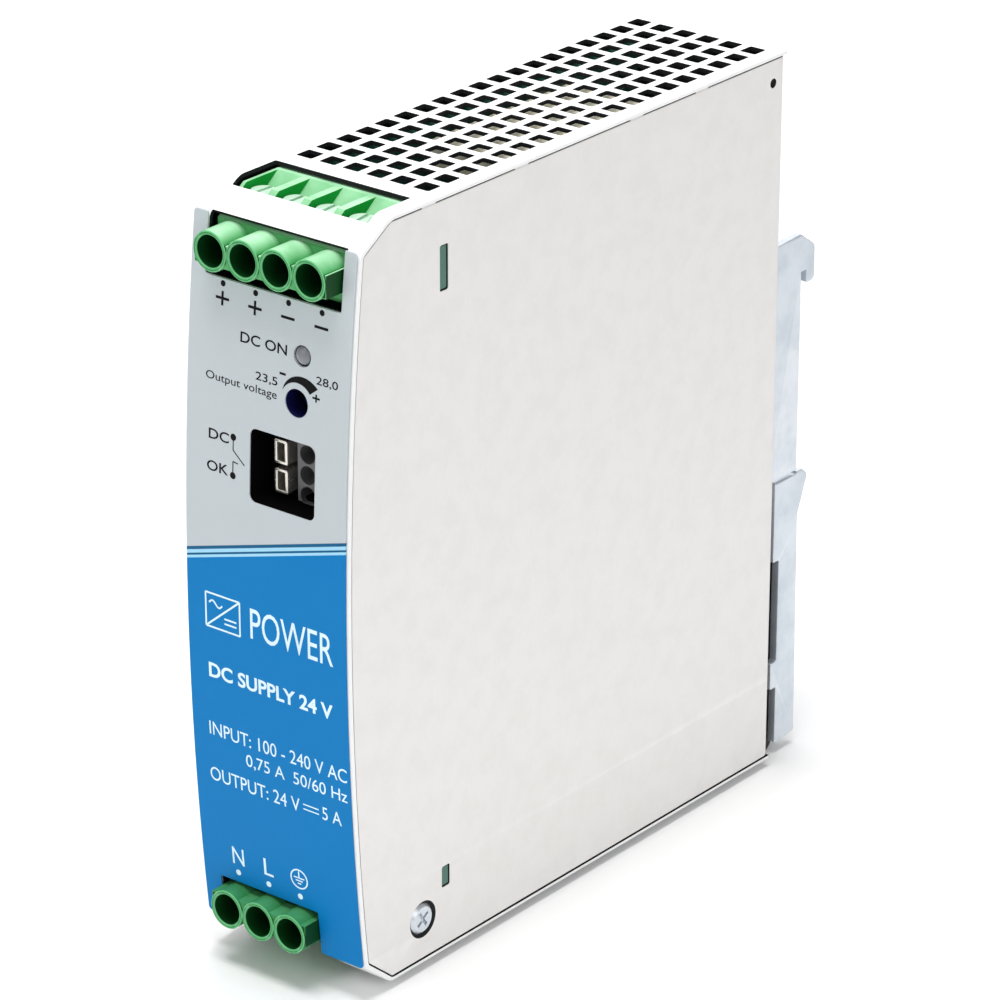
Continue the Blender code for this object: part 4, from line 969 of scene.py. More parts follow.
sideScrew = {"HeadRadius": 2.55, "HeadHeight": 0.6, "Dome": 0.45, "ShankRadius": 1.25, "ShankLength": 2.6,
             "ThreadPitch": 0.5, "SlotLength": 2.9, "SlotWidth": 0.55, "SlotDepth": 0.5, "Cross": True}
bracketScrew = {"HeadRadius": 2.6, "HeadHeight": 1.5, "Dome": 0.9, "ShankRadius": 1.45, "ShankLength": 5.0,
                "ThreadPitch": 0.6, "SlotLength": 2.8, "SlotWidth": 0.55, "SlotDepth": 0.7, "Cross": True}
terminalScrew = {"HeadRadius": 2.0, "HeadHeight": 1.2, "Dome": 0.12, "ShankRadius": 1.45, "ShankLength": 2.9,
                 "ThreadPitch": 0.5, "SlotLength": 5.0, "SlotWidth": 0.7, "SlotDepth": 0.6, "Cross": False}


def makeFixingScrews():
    for side, axis, word in ((1, "x", "right"), (-1, "-x", "left")):
        y, z = chassis["screw"][:2]
        spot = Matrix.Translation((side * (chassis["half"] - 0.62), y, z)) @ turns[axis]
        screw = screwShape(spot @ Matrix.Rotation(0.62, 4, "Z"), Metal=paints["zinc"], **sideScrew)
        piece(f"side_screw_{word}", screw, "case", ["zinc"], [f"case_screw_{word}"], 40)
    low = nodeBox("rail_bracket")[0]
    for n, (x, z) in enumerate(chassis["bracketHoles"]):
        spot = Matrix.Translation((x, low.y + 1.6, z)) @ turns["y"] @ Matrix.Rotation(0.4 + n, 4, "Z")
        screw = screwShape(spot, Metal=paints["zinc"], **bracketScrew)
        piece(f"bracket_screw_head_{n + 1}", screw, "case", ["zinc"],
              [f"bracket_screw_{n + 1}"], 40)


terminal = {"pole": 6.35, "tube": 3.2, "bore": 2.55, "tubeFront": -4.9, "front": 0.6, "back": 17.4,
            "base": -4.75, "step": 3.15, "screwY": 7.3, "floor": 4.3, "head": 5.0}
rows = {"output": {"poles": 4, "middle": 0.25, "entry": 117.1, "up": 1, "top": 7.1, "plastic": "green",
                   "slot": "terminal_green"},
        "input": {"poles": 3, "middle": -2.45, "entry": 8.45, "up": -1, "top": 6.5, "plastic": "darkGreen",
                  "slot": "mains_terminal_green"}}


def polesOf(row):  # where the poles of a row are, across the case
    return [row["middle"] + (n - (row["poles"] - 1) / 2) * terminal["pole"] for n in range(row["poles"])]


def makeTerminalBlock(name):
    look, row = terminal, rows[name]
    up, entry, xs = row["up"], row["entry"], polesOf(row)
    z = lambda height: entry + up * height
    half = row["poles"] * look["pole"] / 2
    outline = rounded([(look["front"], z(look["base"])), (look["back"], z(look["base"])),
                       (look["back"], z(row["top"])), (6.4, z(row["top"])),
                       (look["front"], z(look["step"]))], 0.25, 3, closed=True)
    body = plate([outline], sideView, row["middle"] - half, row["middle"] + half, 0.15)
    outer, bore, front = look["tube"], look["bore"], look["tubeFront"]
    rim = [(bore - 0.02, -7.0), (bore - 0.02, -0.2), (bore + 0.16, 0.0), (bore + 0.24, 0.0),
           (bore + 0.32, -0.14), (bore + 0.38, -0.14), (bore + 0.44, 0.0), (outer - 0.14, 0.0),
           (outer, -0.14), (outer, -7.0)]
    tubes = [turned(rim, (x, front, entry), "-y", 64, closed=True) for x in xs]
    bores = [turned([(0, 0), (bore, 0), (bore, 10.5), (0, 10.5)], (x, front - 1, entry), "y", 64) for x in xs]
    low, high = sorted((z(-3.7), z(3.0)))
    chambers = [block((x - 2.75, 4.4, low), (x + 2.75, 19, high), 0) for x in xs]
    top, floor = z(row["top"]), z(look["floor"])
    wellLine = [(5.0, top + up), (5.0, floor), (9.7, floor), (13.4, top), (13.4, top + up)]
    wells = [plate([wellLine], sideView, x - 2.45, x + 2.45, 0.001) for x in xs]
    shaft, base = [(0, 0), (2.25, 0), (2.25, 2.4), (0, 2.4)], min(z(2.5), z(4.9))
    shafts = [turned(shaft, (x, look["screwY"], base), "z", 40) for x in xs]
    y0, y1 = look["front"] - 1.1, look["front"] + 0.6
    ledge = plate([[(y0, z(-3.6)), (y1, z(-3.6)), (y1, z(-2.2)), (y0, z(-2.2))]], sideView,
                  row["middle"] - half + 0.1, row["middle"] + half - 0.1, 0.15)
    low, high = sorted((z(-2.3), z(1.4)))
    web = block((xs[0] - look["tube"], front + 0.3, low), (xs[-1] + look["tube"], y1, high), 0.2)
    body = carved(carved(body, ledge, operation="UNION"), web, operation="UNION")
    body = softened(carved(body, *bores, *chambers, *wells, *shafts), 0.07, 2, 40)
    for mesh in map(toMesh, tubes):
        body.from_mesh(mesh)
        bpy.data.meshes.remove(mesh)
    for face in body.faces:  # painted light on one moulding: a pale painted highlight on the rims in front, painted shade inside the bores and on the side walls in front, deep green painted shade on the side walls between the wells
        spot = face.calc_center_median()
        away = min(math.hypot(spot.x - x, spot.z - entry) for x in xs)
        sideways = abs(face.normal.x) > 0.9
        inWell = up * (spot.z - entry) > look["floor"] - 1.5 and abs(spot.x - row["middle"]) < half - 0.1
        if spot.y < front + 0.2 and away > bore - 0.1:
            face.material_index = 1
        elif away < bore + 0.1 and spot.y < 19 or sideways and spot.y < look["front"]:
            face.material_index = 2
        elif sideways and inWell:
            face.material_index = 3
    piece(f"{name}_terminal_housing", body, "case", [row["plastic"], "rim", "bore", "wellSide"],
          [f"{name}_terminal_block"], 34)
    for n, x in enumerate(xs):
        spot = Matrix.Translation((x, look["screwY"], z(look["head"]))) @ turns["z" if up > 0 else "-z"]
        spot = spot @ Matrix.Rotation(math.pi / 2 + 0.06 * (n - 1), 4, "Z")
        piece(f"{name}_clamp_screw_{n + 1}", screwShape(spot, Metal=paints["screwHead"], **terminalScrew),
              f"{name}_screw_{n + 1}", ["screwHead"], [f"{name}_screw_{n + 1}"], 40)
        makeCage(name, n, x, z)


def makeCage(name, n, x, z):  # the bent contact cage, its tail through the board, and the ribbed clamp leaf
    spans = lambda a, b: sorted((z(a), z(b)))
    low, high = spans(-3.4, 2.7)
    outer = frameOutline(x - 2.6, x + 2.6, low, high, 0.6, 4)
    inner = frameOutline(x - 1.9, x + 1.9, *spans(-2.7, 2.0), 0.3, 4)
    cage = plate([outer, inner], frontView, -12.3, -4.2, 0.12)
    tail = spans(-3.4, -2.7)
    block((x - 0.5, 11.0, tail[0]), (x + 0.5, 17.3, tail[1]), 0.12, into=cage)
    base = min(z(1.95), z(3.15))
    hole = turned([(0, 0), (1.6, 0), (1.6, 1.2), (0, 1.2)], (x, terminal["screwY"], base), "z", 40)
    cage = carved(cage, hole)  # room for the screw to turn
    piece(f"{name}_cage_{n + 1}", cage, "case", ["tin"], [f"{name}_contact_{n + 1}"], 34)
    leaf = bmesh.new()
    low, high = spans(1.35, 1.9)
    block((x - 1.85, 4.3, low), (x + 1.85, 10.3, high), 0.12, into=leaf)
    for y in (5.2, 6.6, 8.0, 9.4):
        low, high = spans(1.2, 1.5)
        block((x - 1.85, y - 0.25, low), (x + 1.85, y + 0.25, high), 0.08, into=leaf)
    clamp = f"{name}_clamp_{n + 1}"
    piece(f"{name}_leaf_{n + 1}", leaf, clamp, ["tin"], [clamp], 34)


makeFixingScrews()
for name in rows:
    makeTerminalBlock(name)
print("terminals made")


def collarShape(loops, depth):  # a black lining in a front opening, level with the back of the label: painted shade on the opening's walls
    collar = plate(loops, frontView, 0, depth, 0.05)
    for vert in collar.verts:
        vert.co.y = frontY(min(max(vert.co.z, 5), 121)) - 0.02 + (depth + vert.co.y)
    return collar


socket = {"window": cover["socket"], "back": 17.4, "cavity": 12.0, "middleZ": 84.15, "pitch": 4.7,
          "contactX": (-0.9, 1.7), "contactTall": 3.9, "contactFront": -0.8, "wall": 0.5, "keyRadius": 1.45}


def makeSocket():
    look = socket
    x0, x1, z0, z1, radius = look["window"]
    # the socket's opening gets a black lining, painted shade on its walls
    out = cover["collar"] - 0.06
    shape = collarShape([frameOutline(x0 - out, x1 + out, z0 - out, z1 + out, radius, 8),
                         frameOutline(x0 + 0.05, x1 - 0.05, z0 + 0.05, z1 - 0.05, radius, 8)], 4.6)
    plate([frameOutline(x0, x1, z0, z1, radius + 0.2, 8),
           frameOutline(x0 + 0.7, x1 - 0.7, z0 + 0.7, z1 - 0.7, 0.5, 4)],
          frontView, -look["cavity"], -1.3, 0.1, into=shape)
    block((x0 + 0.1, look["cavity"] - 0.3, z0 + 0.1), (x1 - 0.1, look["back"], z1 - 0.1), 0.15, into=shape)
    middle = look["middleZ"]
    low, high = middle - 5.3, middle + 5.3
    holes = [ring(4.6, middle + step, look["keyRadius"], 28) for step in (-4.1, -0.75, 2.6)]
    holes += [ring(7.55, middle + step, look["keyRadius"] * 0.9, 28) for step in (-2.4, 1.0, 4.3)]
    plate([frameOutline(2.6, x1 - 0.75, low, high, 0.2, 3)] + holes, frontView, -4.6, -0.4, 0.12, 1,
          into=shape)
    piece("alarm_socket_body", shape, "case", ["pit", "greyMoulding"], ["alarm_socket"], 34)
    a, b = look["contactX"]
    for n, step in enumerate((look["pitch"] / 2, -look["pitch"] / 2)):
        z, tall, wall = middle + step, look["contactTall"] / 2, look["wall"]
        loops = [frameOutline(a, b, z - tall, z + tall, 0.35, 5),
                 frameOutline(a + wall + 0.1, b - wall - 0.1, z - tall + wall, z + tall - wall, 0.15, 4)]
        contact = plate(loops, frontView, -9.0, -look["contactFront"], 0.12)
        block((0.2, 8.6, z - 0.5), (0.8, 17.2, z + 0.5), 0.1, into=contact)
        piece(f"alarm_contact_box_{n + 1}", contact, "case", ["tin"],
              [f"alarm_contact_{n + 1}"], 34)


def makeLampAndAdjuster():
    x, z = cover["lamp"][:2]
    tip = frontY(z) - 0.75
    turn = [math.radians(90 * n / 9) for n in range(1, 10)]
    dome = [(0, 0)] + [(1.5 * math.sin(a), -1.5 * (1 - math.cos(a)) * 0.62) for a in turn]
    profile = dome + [(1.52, -1.4), (1.52, -4.3), (1.95, -4.3), (1.95, -5.3), (1.8, -5.5), (0, -5.5)]
    lamp = turned(profile, (x, tip, z), "-y", 48)
    piece("status_lamp_lens", lamp, "case", ["lamp"], ["status_lamp"], 30)
    x, z, radius = cover["adjuster"]
    # the adjuster's opening gets a dark lining, painted shade on its walls
    outer = radius + cover["collar"] - 0.06
    collar = collarShape([ring(x, z, outer, 40), ring(x, z, radius + 0.02, 40)], 3.2)
    piece("adjuster_collar", collar, "case", ["rotor"], (), 34)
    low, high = nodeBox("adjuster_body")
    seat = ring((low.x + high.x) / 2, (low.z + high.z) / 2, 1.95, 40)
    shell = plate([frameOutline(low.x, high.x, low.z, high.z, 0.4, 4), seat], frontView, -high.y, -low.y, 0.2)
    piece("adjuster_housing", shell, "case", ["blue"], ["adjuster_body"], 34)
    low, high = nodeBox("adjuster_rotor")
    cx, cz = (low.x + high.x) / 2, (low.z + high.z) / 2
    profile = [(0, 0), (1.3, 0), (1.45, -0.06), (1.62, -0.25), (1.62, -12.0), (0, -12.0)]
    rotor = turned(profile, (cx, low.y, cz), "-y", 40)
    slot = block((cx - 3, low.y - 1, cz - 0.28), (cx + 3, low.y + 0.7, cz + 0.28), 0)
    rotor = softened(carved(rotor, slot), 0.05, 1, 45)
    piece("adjuster_rotor_shaft", rotor, "adjuster_rotor", ["rotor"], ["adjuster_rotor"],
          34)


makeSocket()
makeLampAndAdjuster()
print("socket, lamp and adjuster made")


clip = {"half": 14.0, "sheet": 1.5, "front": 104.7, "seat": 113.0, "hook": 84.5, "horn": 49.1, "top": 91.2,
        "screwHole": 1.7, "round": 0.22, "web": (110.9, 112.4), "slide": (106.6, 110.6), "slideHalf": 12.2,
        "tab": -1.4, "grips": 5,
        "spring": {"low": 51.4, "high": 83.8, "radius": 2.0, "wire": 0.3, "turns": 16.0, "middleY": 108.9}}


def pairOfCheeks(outline, into):
    for side in (-1, 1):
        inner, outer = sorted((side * (clip["half"] - clip["sheet"]), side * clip["half"]))
        plate([outline], sideView, inner, outer, clip["round"], into=into)


def makeBracket():
    look = clip
    front, back, seat, low = look["front"], look["front"] + look["sheet"], look["seat"], look["horn"] + 0.3
    tip = seat + 3.6
    holes = [ring(x, z, look["screwHole"], 32) for x, z in chassis["bracketHoles"]]
    half = look["half"] - 0.05
    web = rounded([(-half, low), (half, low), (half, look["top"] - 1), (-half, look["top"] - 1)],
                  (0.3, 0.3, 2.0, 2.0), 5, closed=True)
    shape = plate([web] + holes, frontView, -back, -front, look["round"])
    guide = rounded([(-9, 16), (9, 16), (9, low + 1.7), (-9, low + 1.7)], (2.5, 2.5, 0.3, 0.3), 6,
                    closed=True)
    plate([guide, frameOutline(-3.0, 3.0, 20, 30, 3.0, 6)], frontView, -back + 0.02, -front - 0.02,
          look["round"], into=shape)
    cheek = [(front, low), (front, 90.8), (112.6, look["top"]), (tip, 88.4), (tip, 82.2), (seat + 1.3, 82.2),
             (seat + 1.3, look["hook"]), (seat - 0.1, look["hook"]), (seat - 0.1, 80.4), (seat, 80.3),
             (seat, low)]
    pairOfCheeks(rounded(cheek, (0.3, 0.8, 1.4, 1.4, 0.9, 0.5, 0.1, 0.1, 0, 0, 0.3), 6, closed=True), shape)
    block((-1.0, front + 1.0, 84.6), (1.0, front + 5.6, 86.4), 0.25, into=shape)
    piece("rail_bracket_plate", shape, "case", ["zinc"], ["rail_bracket"], 34)


def makeLatch():
    look, seat, horn = clip, clip["seat"], clip["horn"]
    front, back = look["web"]
    half = look["half"] - 0.05
    web = rounded([(-half, 2.0), (half, 2.0), (half, horn - 4.5), (-half, horn - 4.5)], (1.5, 1.5, 1.0, 1.0),
                  5, closed=True)
    shape = plate([web, ring(0, 8.0, 2.2, 36)], frontView, -back, -front, look["round"])
    rear = seat + 0.7
    cheek = [(107.0, horn - 0.3), (seat + 0.1, horn - 0.3), (seat + 0.2, horn), (seat + 1.6, horn),
             (seat + 3.3, horn - 1.2), (rear, 41.3), (rear, 39.5), (rear + 0.5, 1.1), (110.7, 0.6),
             (108.6, 0.6), (108.6, 11.1), (107.0, 11.1), (107.0, 16.0), (108.6, 16.0), (108.6, 34.5),
             (107.0, 34.5)]
    bends = (0.4, 0, 0, 0.3, 1.1, 0.6, 0.3, 0.5, 0.5, 0.4, 0.3, 0.3, 0.3, 0.3, 0.3, 0.3)
    pairOfCheeks(rounded(cheek, bends, 5, closed=True), shape)
    piece("latch_jaw_plate", shape, "latch", ["zinc"], ["latch_jaw"], 34)
    front, back = look["slide"]
    wide, tab = look["slideHalf"], look["tab"]
    slide = block((-wide, front, 4.0), (wide, back, 36.0), 0.5)
    lip = [(front + 0.6, tab + 0.7), (front + 1.4, tab), (109.3, tab), (back - 0.3, -0.4), (back, 1.0),
           (back, 6.0), (front, 6.0), (front, 1.0)]
    plate([rounded(lip, 0.4, 4, closed=True)], sideView, -wide, wide, 0.4, into=slide)
    block((-1.0, front + 0.5, 35.0), (1.0, back, 50.4), 0.25, into=slide)
    for n in range(look["grips"]):
        x = (n - (look["grips"] - 1) / 2) * 4.2
        block((x - 0.6, front + 0.35, 0.9), (x + 0.6, back - 0.3, 3.2), 0.2, into=slide)
    piece("latch_slide_moulding", slide, "latch", ["black"], ["latch_slide"], 34)


def springTree():  # a wound wire between two heights
    sizes = [("Geometry", "NodeSocketGeometry", None), ("Turns", "NodeSocketFloat", 10.0),
             ("CoilRadius", "NodeSocketFloat", 2.0), ("WireRadius", "NodeSocketFloat", 0.3),
             ("Height", "NodeSocketFloat", 30.0), ("Metal", "NodeSocketMaterial", None)]
    tree, given, result = newGroup("wound spring", "GeometryNodeTree", sizes,
                                   [("Geometry", "NodeSocketGeometry")])
    coil = put(tree, "GeometryNodeCurveSpiral", {"Resolution": 20, "Rotations": given["Turns"],
                                                 "Start Radius": given["CoilRadius"],
                                                 "End Radius": given["CoilRadius"],
                                                 "Height": given["Height"]})
    wire = put(tree, "GeometryNodeCurvePrimitiveCircle", {"Resolution": 10, "Radius": given["WireRadius"]})
    solid = put(tree, "GeometryNodeCurveToMesh", {"Curve": coil.outputs[0], "Profile Curve": wire.outputs[0],
                                                  "Fill Caps": True}).outputs[0]
    return finishTree(tree, solid, given["Metal"], result)


trees["spring"] = springTree()


def makeSpring():
    look = clip["spring"]
    obj = useTree(linked("spring", bpy.data.meshes.new("spring")), trees["spring"], Turns=look["turns"],
                  CoilRadius=look["radius"], WireRadius=look["wire"], Height=look["high"] - look["low"],
                  Metal=paints["steel"])
    shape = addMesh(bmesh.new(), evaluated(obj), Matrix.Translation((0, look["middleY"], look["low"])),
                    weld=0.00001)
    piece("latch_spring_coil", shape, "case", ["steel"], ["latch_spring"], 34)


deck = -11.1
inside = {
    "core": ((60.0, 94.0), (88.0, 113.5), (-7.1, 11.5)), "coreLegs": (6.0, 7.0), "coreSplit": 0.06,
    "coil": ((66.6, 87.4), (-10.7, 13.1), (93.4, 108.1)), "coilHole": ((72.6, 81.4), (-7.5, 11.9)),
    "card": ((43.0, 79.5), (113.9, 121.2), (-8.0, 9.8), 0.4), "tapeBands": 6, "flange": 0.9,
    "heatsinks": (("output_heatsink", 12.1, (25.0, 54.0), (86.0, 118.0)),
                  ("mains_heatsink", 11.5, (28.0, 60.0), (24.0, 54.0))),
    "devices": (("output_rectifier", 9.9, 40.0, 100.0), ("switching_transistor", 9.3, 45.0, 38.0)),
    "cans": (("bulk_capacitor", 11.0, 24.0, 84.0, 52.0), ("output_capacitor_1", 5.2, 20.0, 52.0, 71.0),
             ("output_capacitor_2", 5.2, 20.0, 64.0, 71.0)),
    "choke": ((-1.1, 84.0, 24.0), 7.1, 2.1, 4.1, 26, 0.38),
    "boxes": (("bridge_rectifier", "black", "black_moulding", (deck, 64.0, 26.0), (deck + 15, 67.5, 46.0)),
              ("mains_capacitor", "yellowBox", "film_capacitor_yellow", (deck, 56.0, 6.0),
               (deck + 15, 74.0, 15.0)),
              ("alarm_relay", "black", "black_moulding", (deck, 24.0, 59.5), (deck + 15, 44.0, 69.5)))}


def makeTransformer():
    look = inside
    (y0, y1), (z0, z1), (x0, x1) = look["core"]
    limb, window = look["coreLegs"]
    core, middle = bmesh.new(), (z0 + z1) / 2
    for base, up in ((z0, 1), (z1, -1)):  # two E halves, face to face
        back, end = base + up * 5, middle - up * look["coreSplit"]
        ys = (y0 + limb, y0 + limb + window, y1 - limb - window, y1 - limb)
        half = [(y0, base), (y1, base), (y1, end), (ys[3], end), (ys[3], back), (ys[2], back), (ys[2], end),
                (ys[1], end), (ys[1], back), (ys[0], back), (ys[0], end), (y0, end)]
        plate([half], sideView, x0, x1, 0.3, into=core)
    piece("transformer_core_halves", core, "case", ["ferrite"], ["transformer_core"], 34)
    around = [frameOutline(y0 - out, y1 + out, z0 - out, z1 + out, curve, 4)
              for out, curve in ((0.3, 0.5), (0.02, 0.25))]
    band = plate(around, sideView, x0 + 0.8, x1 - 0.8, 0.1)
    piece("transformer_core_tape", band, "case", ["coreTape"], (), 34)
    (y0, y1), (low, high), (x0, x1), sheet = look["card"]
    fold = [(y0, high - 3.5), (y0, high), (y1, high), (y1, low), (y1 - sheet, low),
            (y1 - sheet, high - sheet), (y0 + sheet, high - sheet), (y0 + sheet, high - 3.5)]
    card = plate([fold], sideView, x0, x1, 0.08)
    piece("transformer_card", card, "case", ["coreTape"], (), 34)
    (y0, y1), (x0, x1), (z0, z1) = look["coil"]
    (h0, h1), (g0, g1) = look["coilHole"]
    coil, hole = bmesh.new(), frameOutline(g0, g1, h0, h1, 0.8, 4)
    step = (z1 - z0 - 2 * look["flange"]) / look["tapeBands"]
    for n in range(look["tapeBands"]):  # overlapping bands of tape
        inset, low = 0.5 + 0.12 * (n % 2), z0 + look["flange"] + n * step
        plate([frameOutline(x0 + inset, x1 - inset, y0 + inset, y1 - inset, 3.0, 8), hole], planView,
              low - 0.1, low + step + 0.1, 0.1, into=coil)
    for low in (z0, z1 - look["flange"]):
        plate([frameOutline(x0, x1, y0, y1, 2.0, 6), hole], planView, low, low + look["flange"], 0.2, 1,
              into=coil)
    piece("transformer_coil_winding", coil, "case", ["tape", "black"], ["transformer_coil"],
          34)


def makeHeatsinks():
    for name, x, (y0, y1), (z0, z1) in inside["heatsinks"]:
        thick, foot = 1.8, deck + 2.0
        bent = [(foot, y0), (x, y0), (x, y1), (x - thick, y1), (x - thick, y0 + thick), (foot, y0 + thick)]
        shape = plate([rounded(bent, (0.2, 2.6, 0.3, 0.3, 0.8, 0.2), 6, closed=True)], planView, z0, z1, 0.2)
        for n in range(4):  # ribs rolled along its outer face
            y = y0 + 5.5 + n * (y1 - y0 - 8) / 3.6
            block((x - 0.15, y - 0.5, z0 + 1.5), (x + 0.35, y + 0.5, z1 - 1.5), 0.15, into=shape)
        piece(f"{name}_sheet", shape, "case", ["aluminium"], [name], 34)
    for name, x, y, z in inside["devices"]:
        shape = block((x - 4.5, y - 5.0, z - 7.6), (x, y + 5.0, z + 1.2), 0.4)
        flange = [frameOutline(y - 5.0, y + 5.0, z - 6.0, z + 8.0, 0.4, 3), ring(y, z + 5.2, 1.8, 32)]
        plate(flange, sideView, x - 1.3, x - 0.02, 0.1, 1, into=shape)
        for leg in (-2.54, 0, 2.54):
            pipe([(x - 2.6, y + leg, z - 7.0), (x - 2.6, y + leg, z - 9.6), (deck - 0.2, y + leg, z - 9.6)],
                 0.4, 1, into=shape)
        spot = Matrix.Translation((x - 1.3, y, z + 5.2)) @ turns["-x"]
        screwShape(spot, into=shape, Metal=paints["zinc"],
                   **{**bracketScrew, "HeadRadius": 2.8, "ShankLength": 2.5})
        piece(f"{name}_package", shape, "case", ["black", "tin"], [name], 34)


def makeCans():
    for name, radius, length, y, z in inside["cans"]:
        lid = radius * 0.72
        profile = [(0, length - 0.35), (lid, length - 0.35), (lid + 0.15, length), (radius - 0.5, length),
                   (radius, length - 0.5), (radius, 2.6), (radius - 0.35, 2.1), (radius, 1.6), (radius, 0.4),
                   (radius - 0.4, 0), (0, 0)]
        shape = turned(profile, (deck, y, z), "x", 64)
        vents = [block((deck + length - 0.6, y - a, z - b), (deck + length + 1, y + a, z + b), 0)
                 for a, b in ((lid * 0.8, 0.25), (0.25, lid * 0.8))]
        shape = carved(shape, *vents)
        for face in shape.faces:
            spot = face.calc_center_median() - Vector((deck, y, z))
            if spot.x > length - 0.7 and math.hypot(spot.y, spot.z) < lid:
                face.material_index = 1
            elif abs(math.atan2(spot.y, spot.z)) < 0.3 and 3 < spot.x:
                face.material_index = 2
        piece(f"{name}_can", shape, "case", ["sleeve", "aluminium", "paleInk"], [name],
              34)


def makeMainsParts():
    (x, y, z), middle, across, along, count, wire = inside["choke"]
    ringCore = [(middle + across, along - 0.6), (middle + across, -along + 0.6),
                (middle - across, -along + 0.6), (middle - across, along - 0.6)]
    shape = turned(ringCore, (x, y, z), "y", 48, 1, closed=True)
    steps, wound = 14, []
    for n in range(count * steps):  # one wire wound round and round the ring
        a, b = 2 * math.pi * n / (count * steps), 2 * math.pi * n / steps
        squeeze = lambda v: math.copysign(abs(v) ** 0.6, v)
        reach = middle + (across + wire * 0.2) * squeeze(math.cos(b))
        wound.append((x + reach * math.cos(a), y + along * squeeze(math.sin(b)), z + reach * math.sin(a)))
    pipe(wound, wire, into=shape, closed=True)
    piece("mains_choke_winding", shape, "case", ["copper", "ferrite"], ["mains_choke"], 34)
    low, high = nodeBox("fuse")
    middle, radius, length = (low + high) / 2, (high.z - low.z) / 2, high.y - low.y
    tube = [(0, 0), (radius, 0), (radius, 4.2), (radius - 0.2, 4.5), (radius - 0.2, length - 4.5),
            (radius, length - 4.2), (radius, length), (0, length)]
    fuse = turned(tube, (middle.x, low.y, middle.z), "y", 40)
    for face in fuse.faces:
        if abs(face.calc_center_median().y - middle.y) > length / 2 - 4.4:
            face.material_index = 1
    piece("fuse_tube", fuse, "case", ["ceramic", "tin"], ["fuse"], 34)
    for name, paint, slot, low, high in inside["boxes"]:
        shape = block(low, high, 0.5)
        block((high[0] - 0.1, low[1] + 0.8, low[2] + 0.8), (high[0] + 0.25, high[1] - 0.8, high[2] - 0.8),
              0.15, into=shape)
        block((low[0] - 0.2, low[1] + 0.3, low[2] + 1.2), (low[0] + 0.8, high[1] - 0.3, low[2] + 2.6), 0.2,
              into=shape)
        piece(f"{name}_case", shape, "case", [paint], [name], 34)


def makeBoards():
    low, high = nodeBox("front_board")
    half, tip = 14.6, high.x
    (a0, a1), (b0, b1) = (11.4, 14.5), (110.3, 117.0)
    right = [(half, low.z), (half, a0), (tip, a0), (tip, a1), (half, a1), (half, b0), (tip, b0), (tip, b1),
             (half, b1), (half, high.z)]
    outline = right + [(-x, z) for x, z in right[::-1]]
    shape = plate([outline], frontView, -high.y, -low.y, 0.05)
    cone = [(0, 0.7), (0.35, 0.6), (0.6, 0.25), (1.1, 0.02), (1.1, -0.3), (0, -0.3)]
    for row in rows.values():
        z = row["entry"] - row["up"] * 3.05
        for x in polesOf(row):  # a solder cone on the tail of each contact
            turned(cone, (x, high.y, z), "y", 24, 1, into=shape)
    piece("front_board_sheet", shape, "case", ["board", "tin"], ["front_board"], 34)
    low, high = nodeBox("main_board")
    holes = [ring(y, z, 1.6, 28) for y in (26, 97) for z in (8, 116)]
    shape = plate([frameOutline(low.y, high.y, low.z, high.z, 0.6, 4)] + holes, sideView, low.x, high.x, 0.05)
    # small chips
    for y, z in ((48, 20), (48, 62), (56, 78), (70, 56), (94, 72), (92, 40), (34, 76), (28, 44)):
        block((high.x - 0.05, y - 2.2, z - 1.6), (high.x + 1.3, y + 2.2, z + 1.6), 0.2, 1, into=shape)
        for k in (-1.5, -0.5, 0.5, 1.5):
            for side in (-1, 1):
                block((high.x - 0.03, y + k - 0.2, z + side * 1.5),
                      (high.x + 0.5, y + k + 0.2, z + side * 2.6), 0.08, 2, into=shape)
    piece("main_board_sheet", shape, "case", ["board", "black", "tin"], ["main_board"], 34)
    low, high = nodeBox("insulation_sheet")
    film = plate([frameOutline(low.y, high.y, low.z, high.z, 2.0, 6)], sideView, low.x, high.x, 0.05)
    piece("insulation_film_sheet", film, "case", ["film"], ["insulation_sheet"], 34)


makeBracket()
makeLatch()
makeSpring()
print("clip made")
makeTransformer()
makeHeatsinks()
makeCans()
makeMainsParts()
makeBoards()
print("inside made")


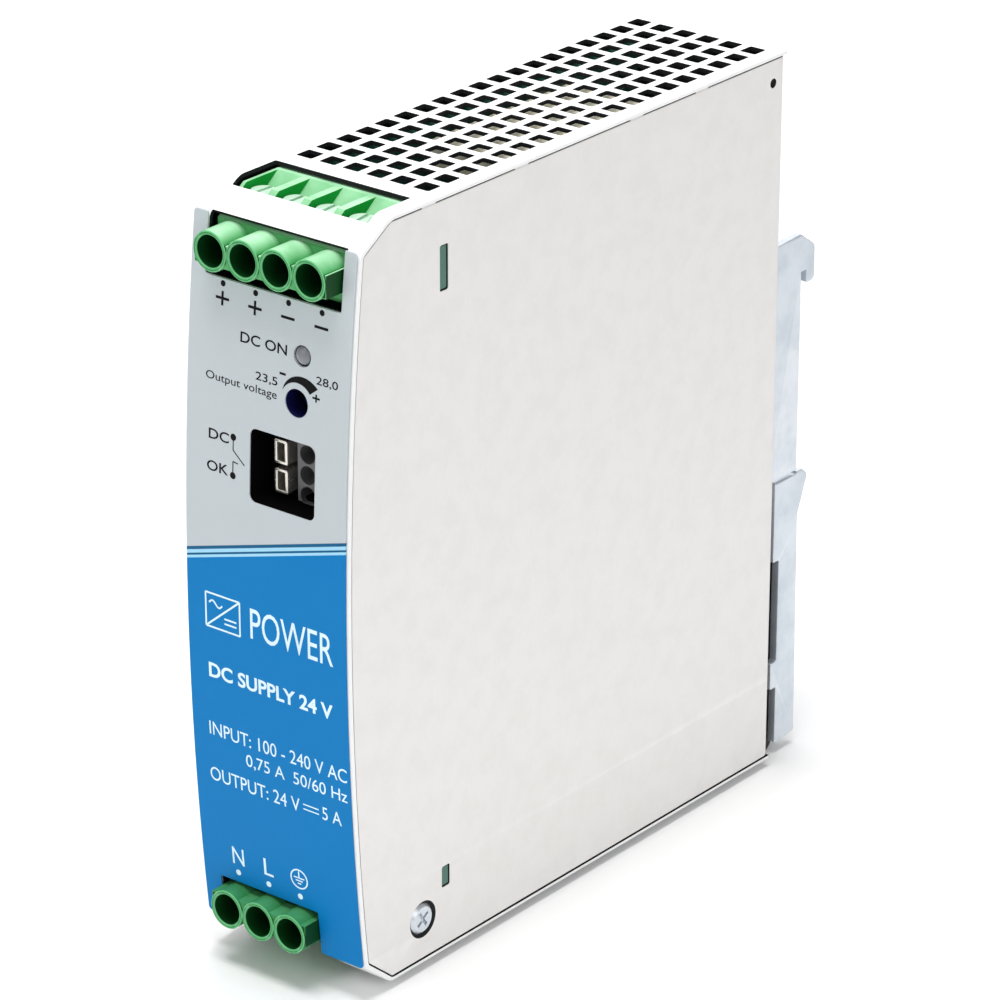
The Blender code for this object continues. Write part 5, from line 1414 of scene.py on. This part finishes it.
studio = {"floor": 6.0, "floorShade": 0.93, "sky": 0.42, "aim": (0, 0, 0.06),
          "lamps": (("key softbox", (0.85, -0.3, 0.45), 0.6, 1.95),
                    ("front softbox", (-0.35, -0.9, 0.45), 0.6, 1.7),
                    ("top softbox", (0.0, -0.1, 1.0), 0.5, 9.0), ("rear fill", (-0.5, 0.8, 0.5), 0.6, 1.5))}


def makeStage():
    bpy.ops.mesh.primitive_plane_add(size=studio["floor"])
    floor = bpy.context.object
    floor.name = "floor"
    ground = bpy.data.materials.new("pale floor")
    ground.use_nodes = True
    shader = ground.node_tree.nodes["Principled BSDF"]
    shader.inputs["Base Color"].default_value = (*(studio["floorShade"],) * 3, 1)
    shader.inputs["Roughness"].default_value = 0.9
    floor.data.materials.append(ground)
    world = bpy.data.worlds.new("studio")
    bpy.context.scene.world = world
    world.use_nodes = True
    sky = world.node_tree.nodes["Background"]
    sky.inputs[0].default_value = (1.0, 1.0, 1.0, 1)
    sky.inputs[1].default_value = studio["sky"]
    for name, spot, size, power in studio["lamps"]:
        light = bpy.data.lights.new(name, "AREA")
        light.shape = "SQUARE"
        light.size = size
        light.energy = power
        holder = linked(name, light)
        holder.location = spot
        holder.rotation_euler = (Vector(studio["aim"]) - holder.location).to_track_quat("-Z", "Y").to_euler()


view = {"azimuth": 38.62, "elevation": 23.48, "roll": 0.11, "lens": 180.53,
        "spot": (0.45280, -0.57088, 0.37741)}


def makeCamera():
    a, e, r = (math.radians(view[n]) for n in ("azimuth", "elevation", "roll"))
    back = Vector((math.sin(a) * math.cos(e), -math.cos(a) * math.cos(e), math.sin(e)))
    right = Vector((math.cos(a), math.sin(a), 0))
    up = back.cross(right)
    turnedRight, turnedUp = right * math.cos(r) + up * math.sin(r), up * math.cos(r) - right * math.sin(r)
    data = bpy.data.cameras.new("camera")
    data.lens = view["lens"]
    data.sensor_width = 36.0
    data.clip_start = 0.01
    camera = linked("camera", data)
    camera.matrix_world = Matrix.Translation(view["spot"]) @ Matrix(
        (turnedRight, turnedUp, back)).transposed().to_4x4()
    bpy.context.scene.camera = camera


makeStage()
makeCamera()
bpy.context.scene.view_settings.view_transform = "Standard"
print("sizes written")
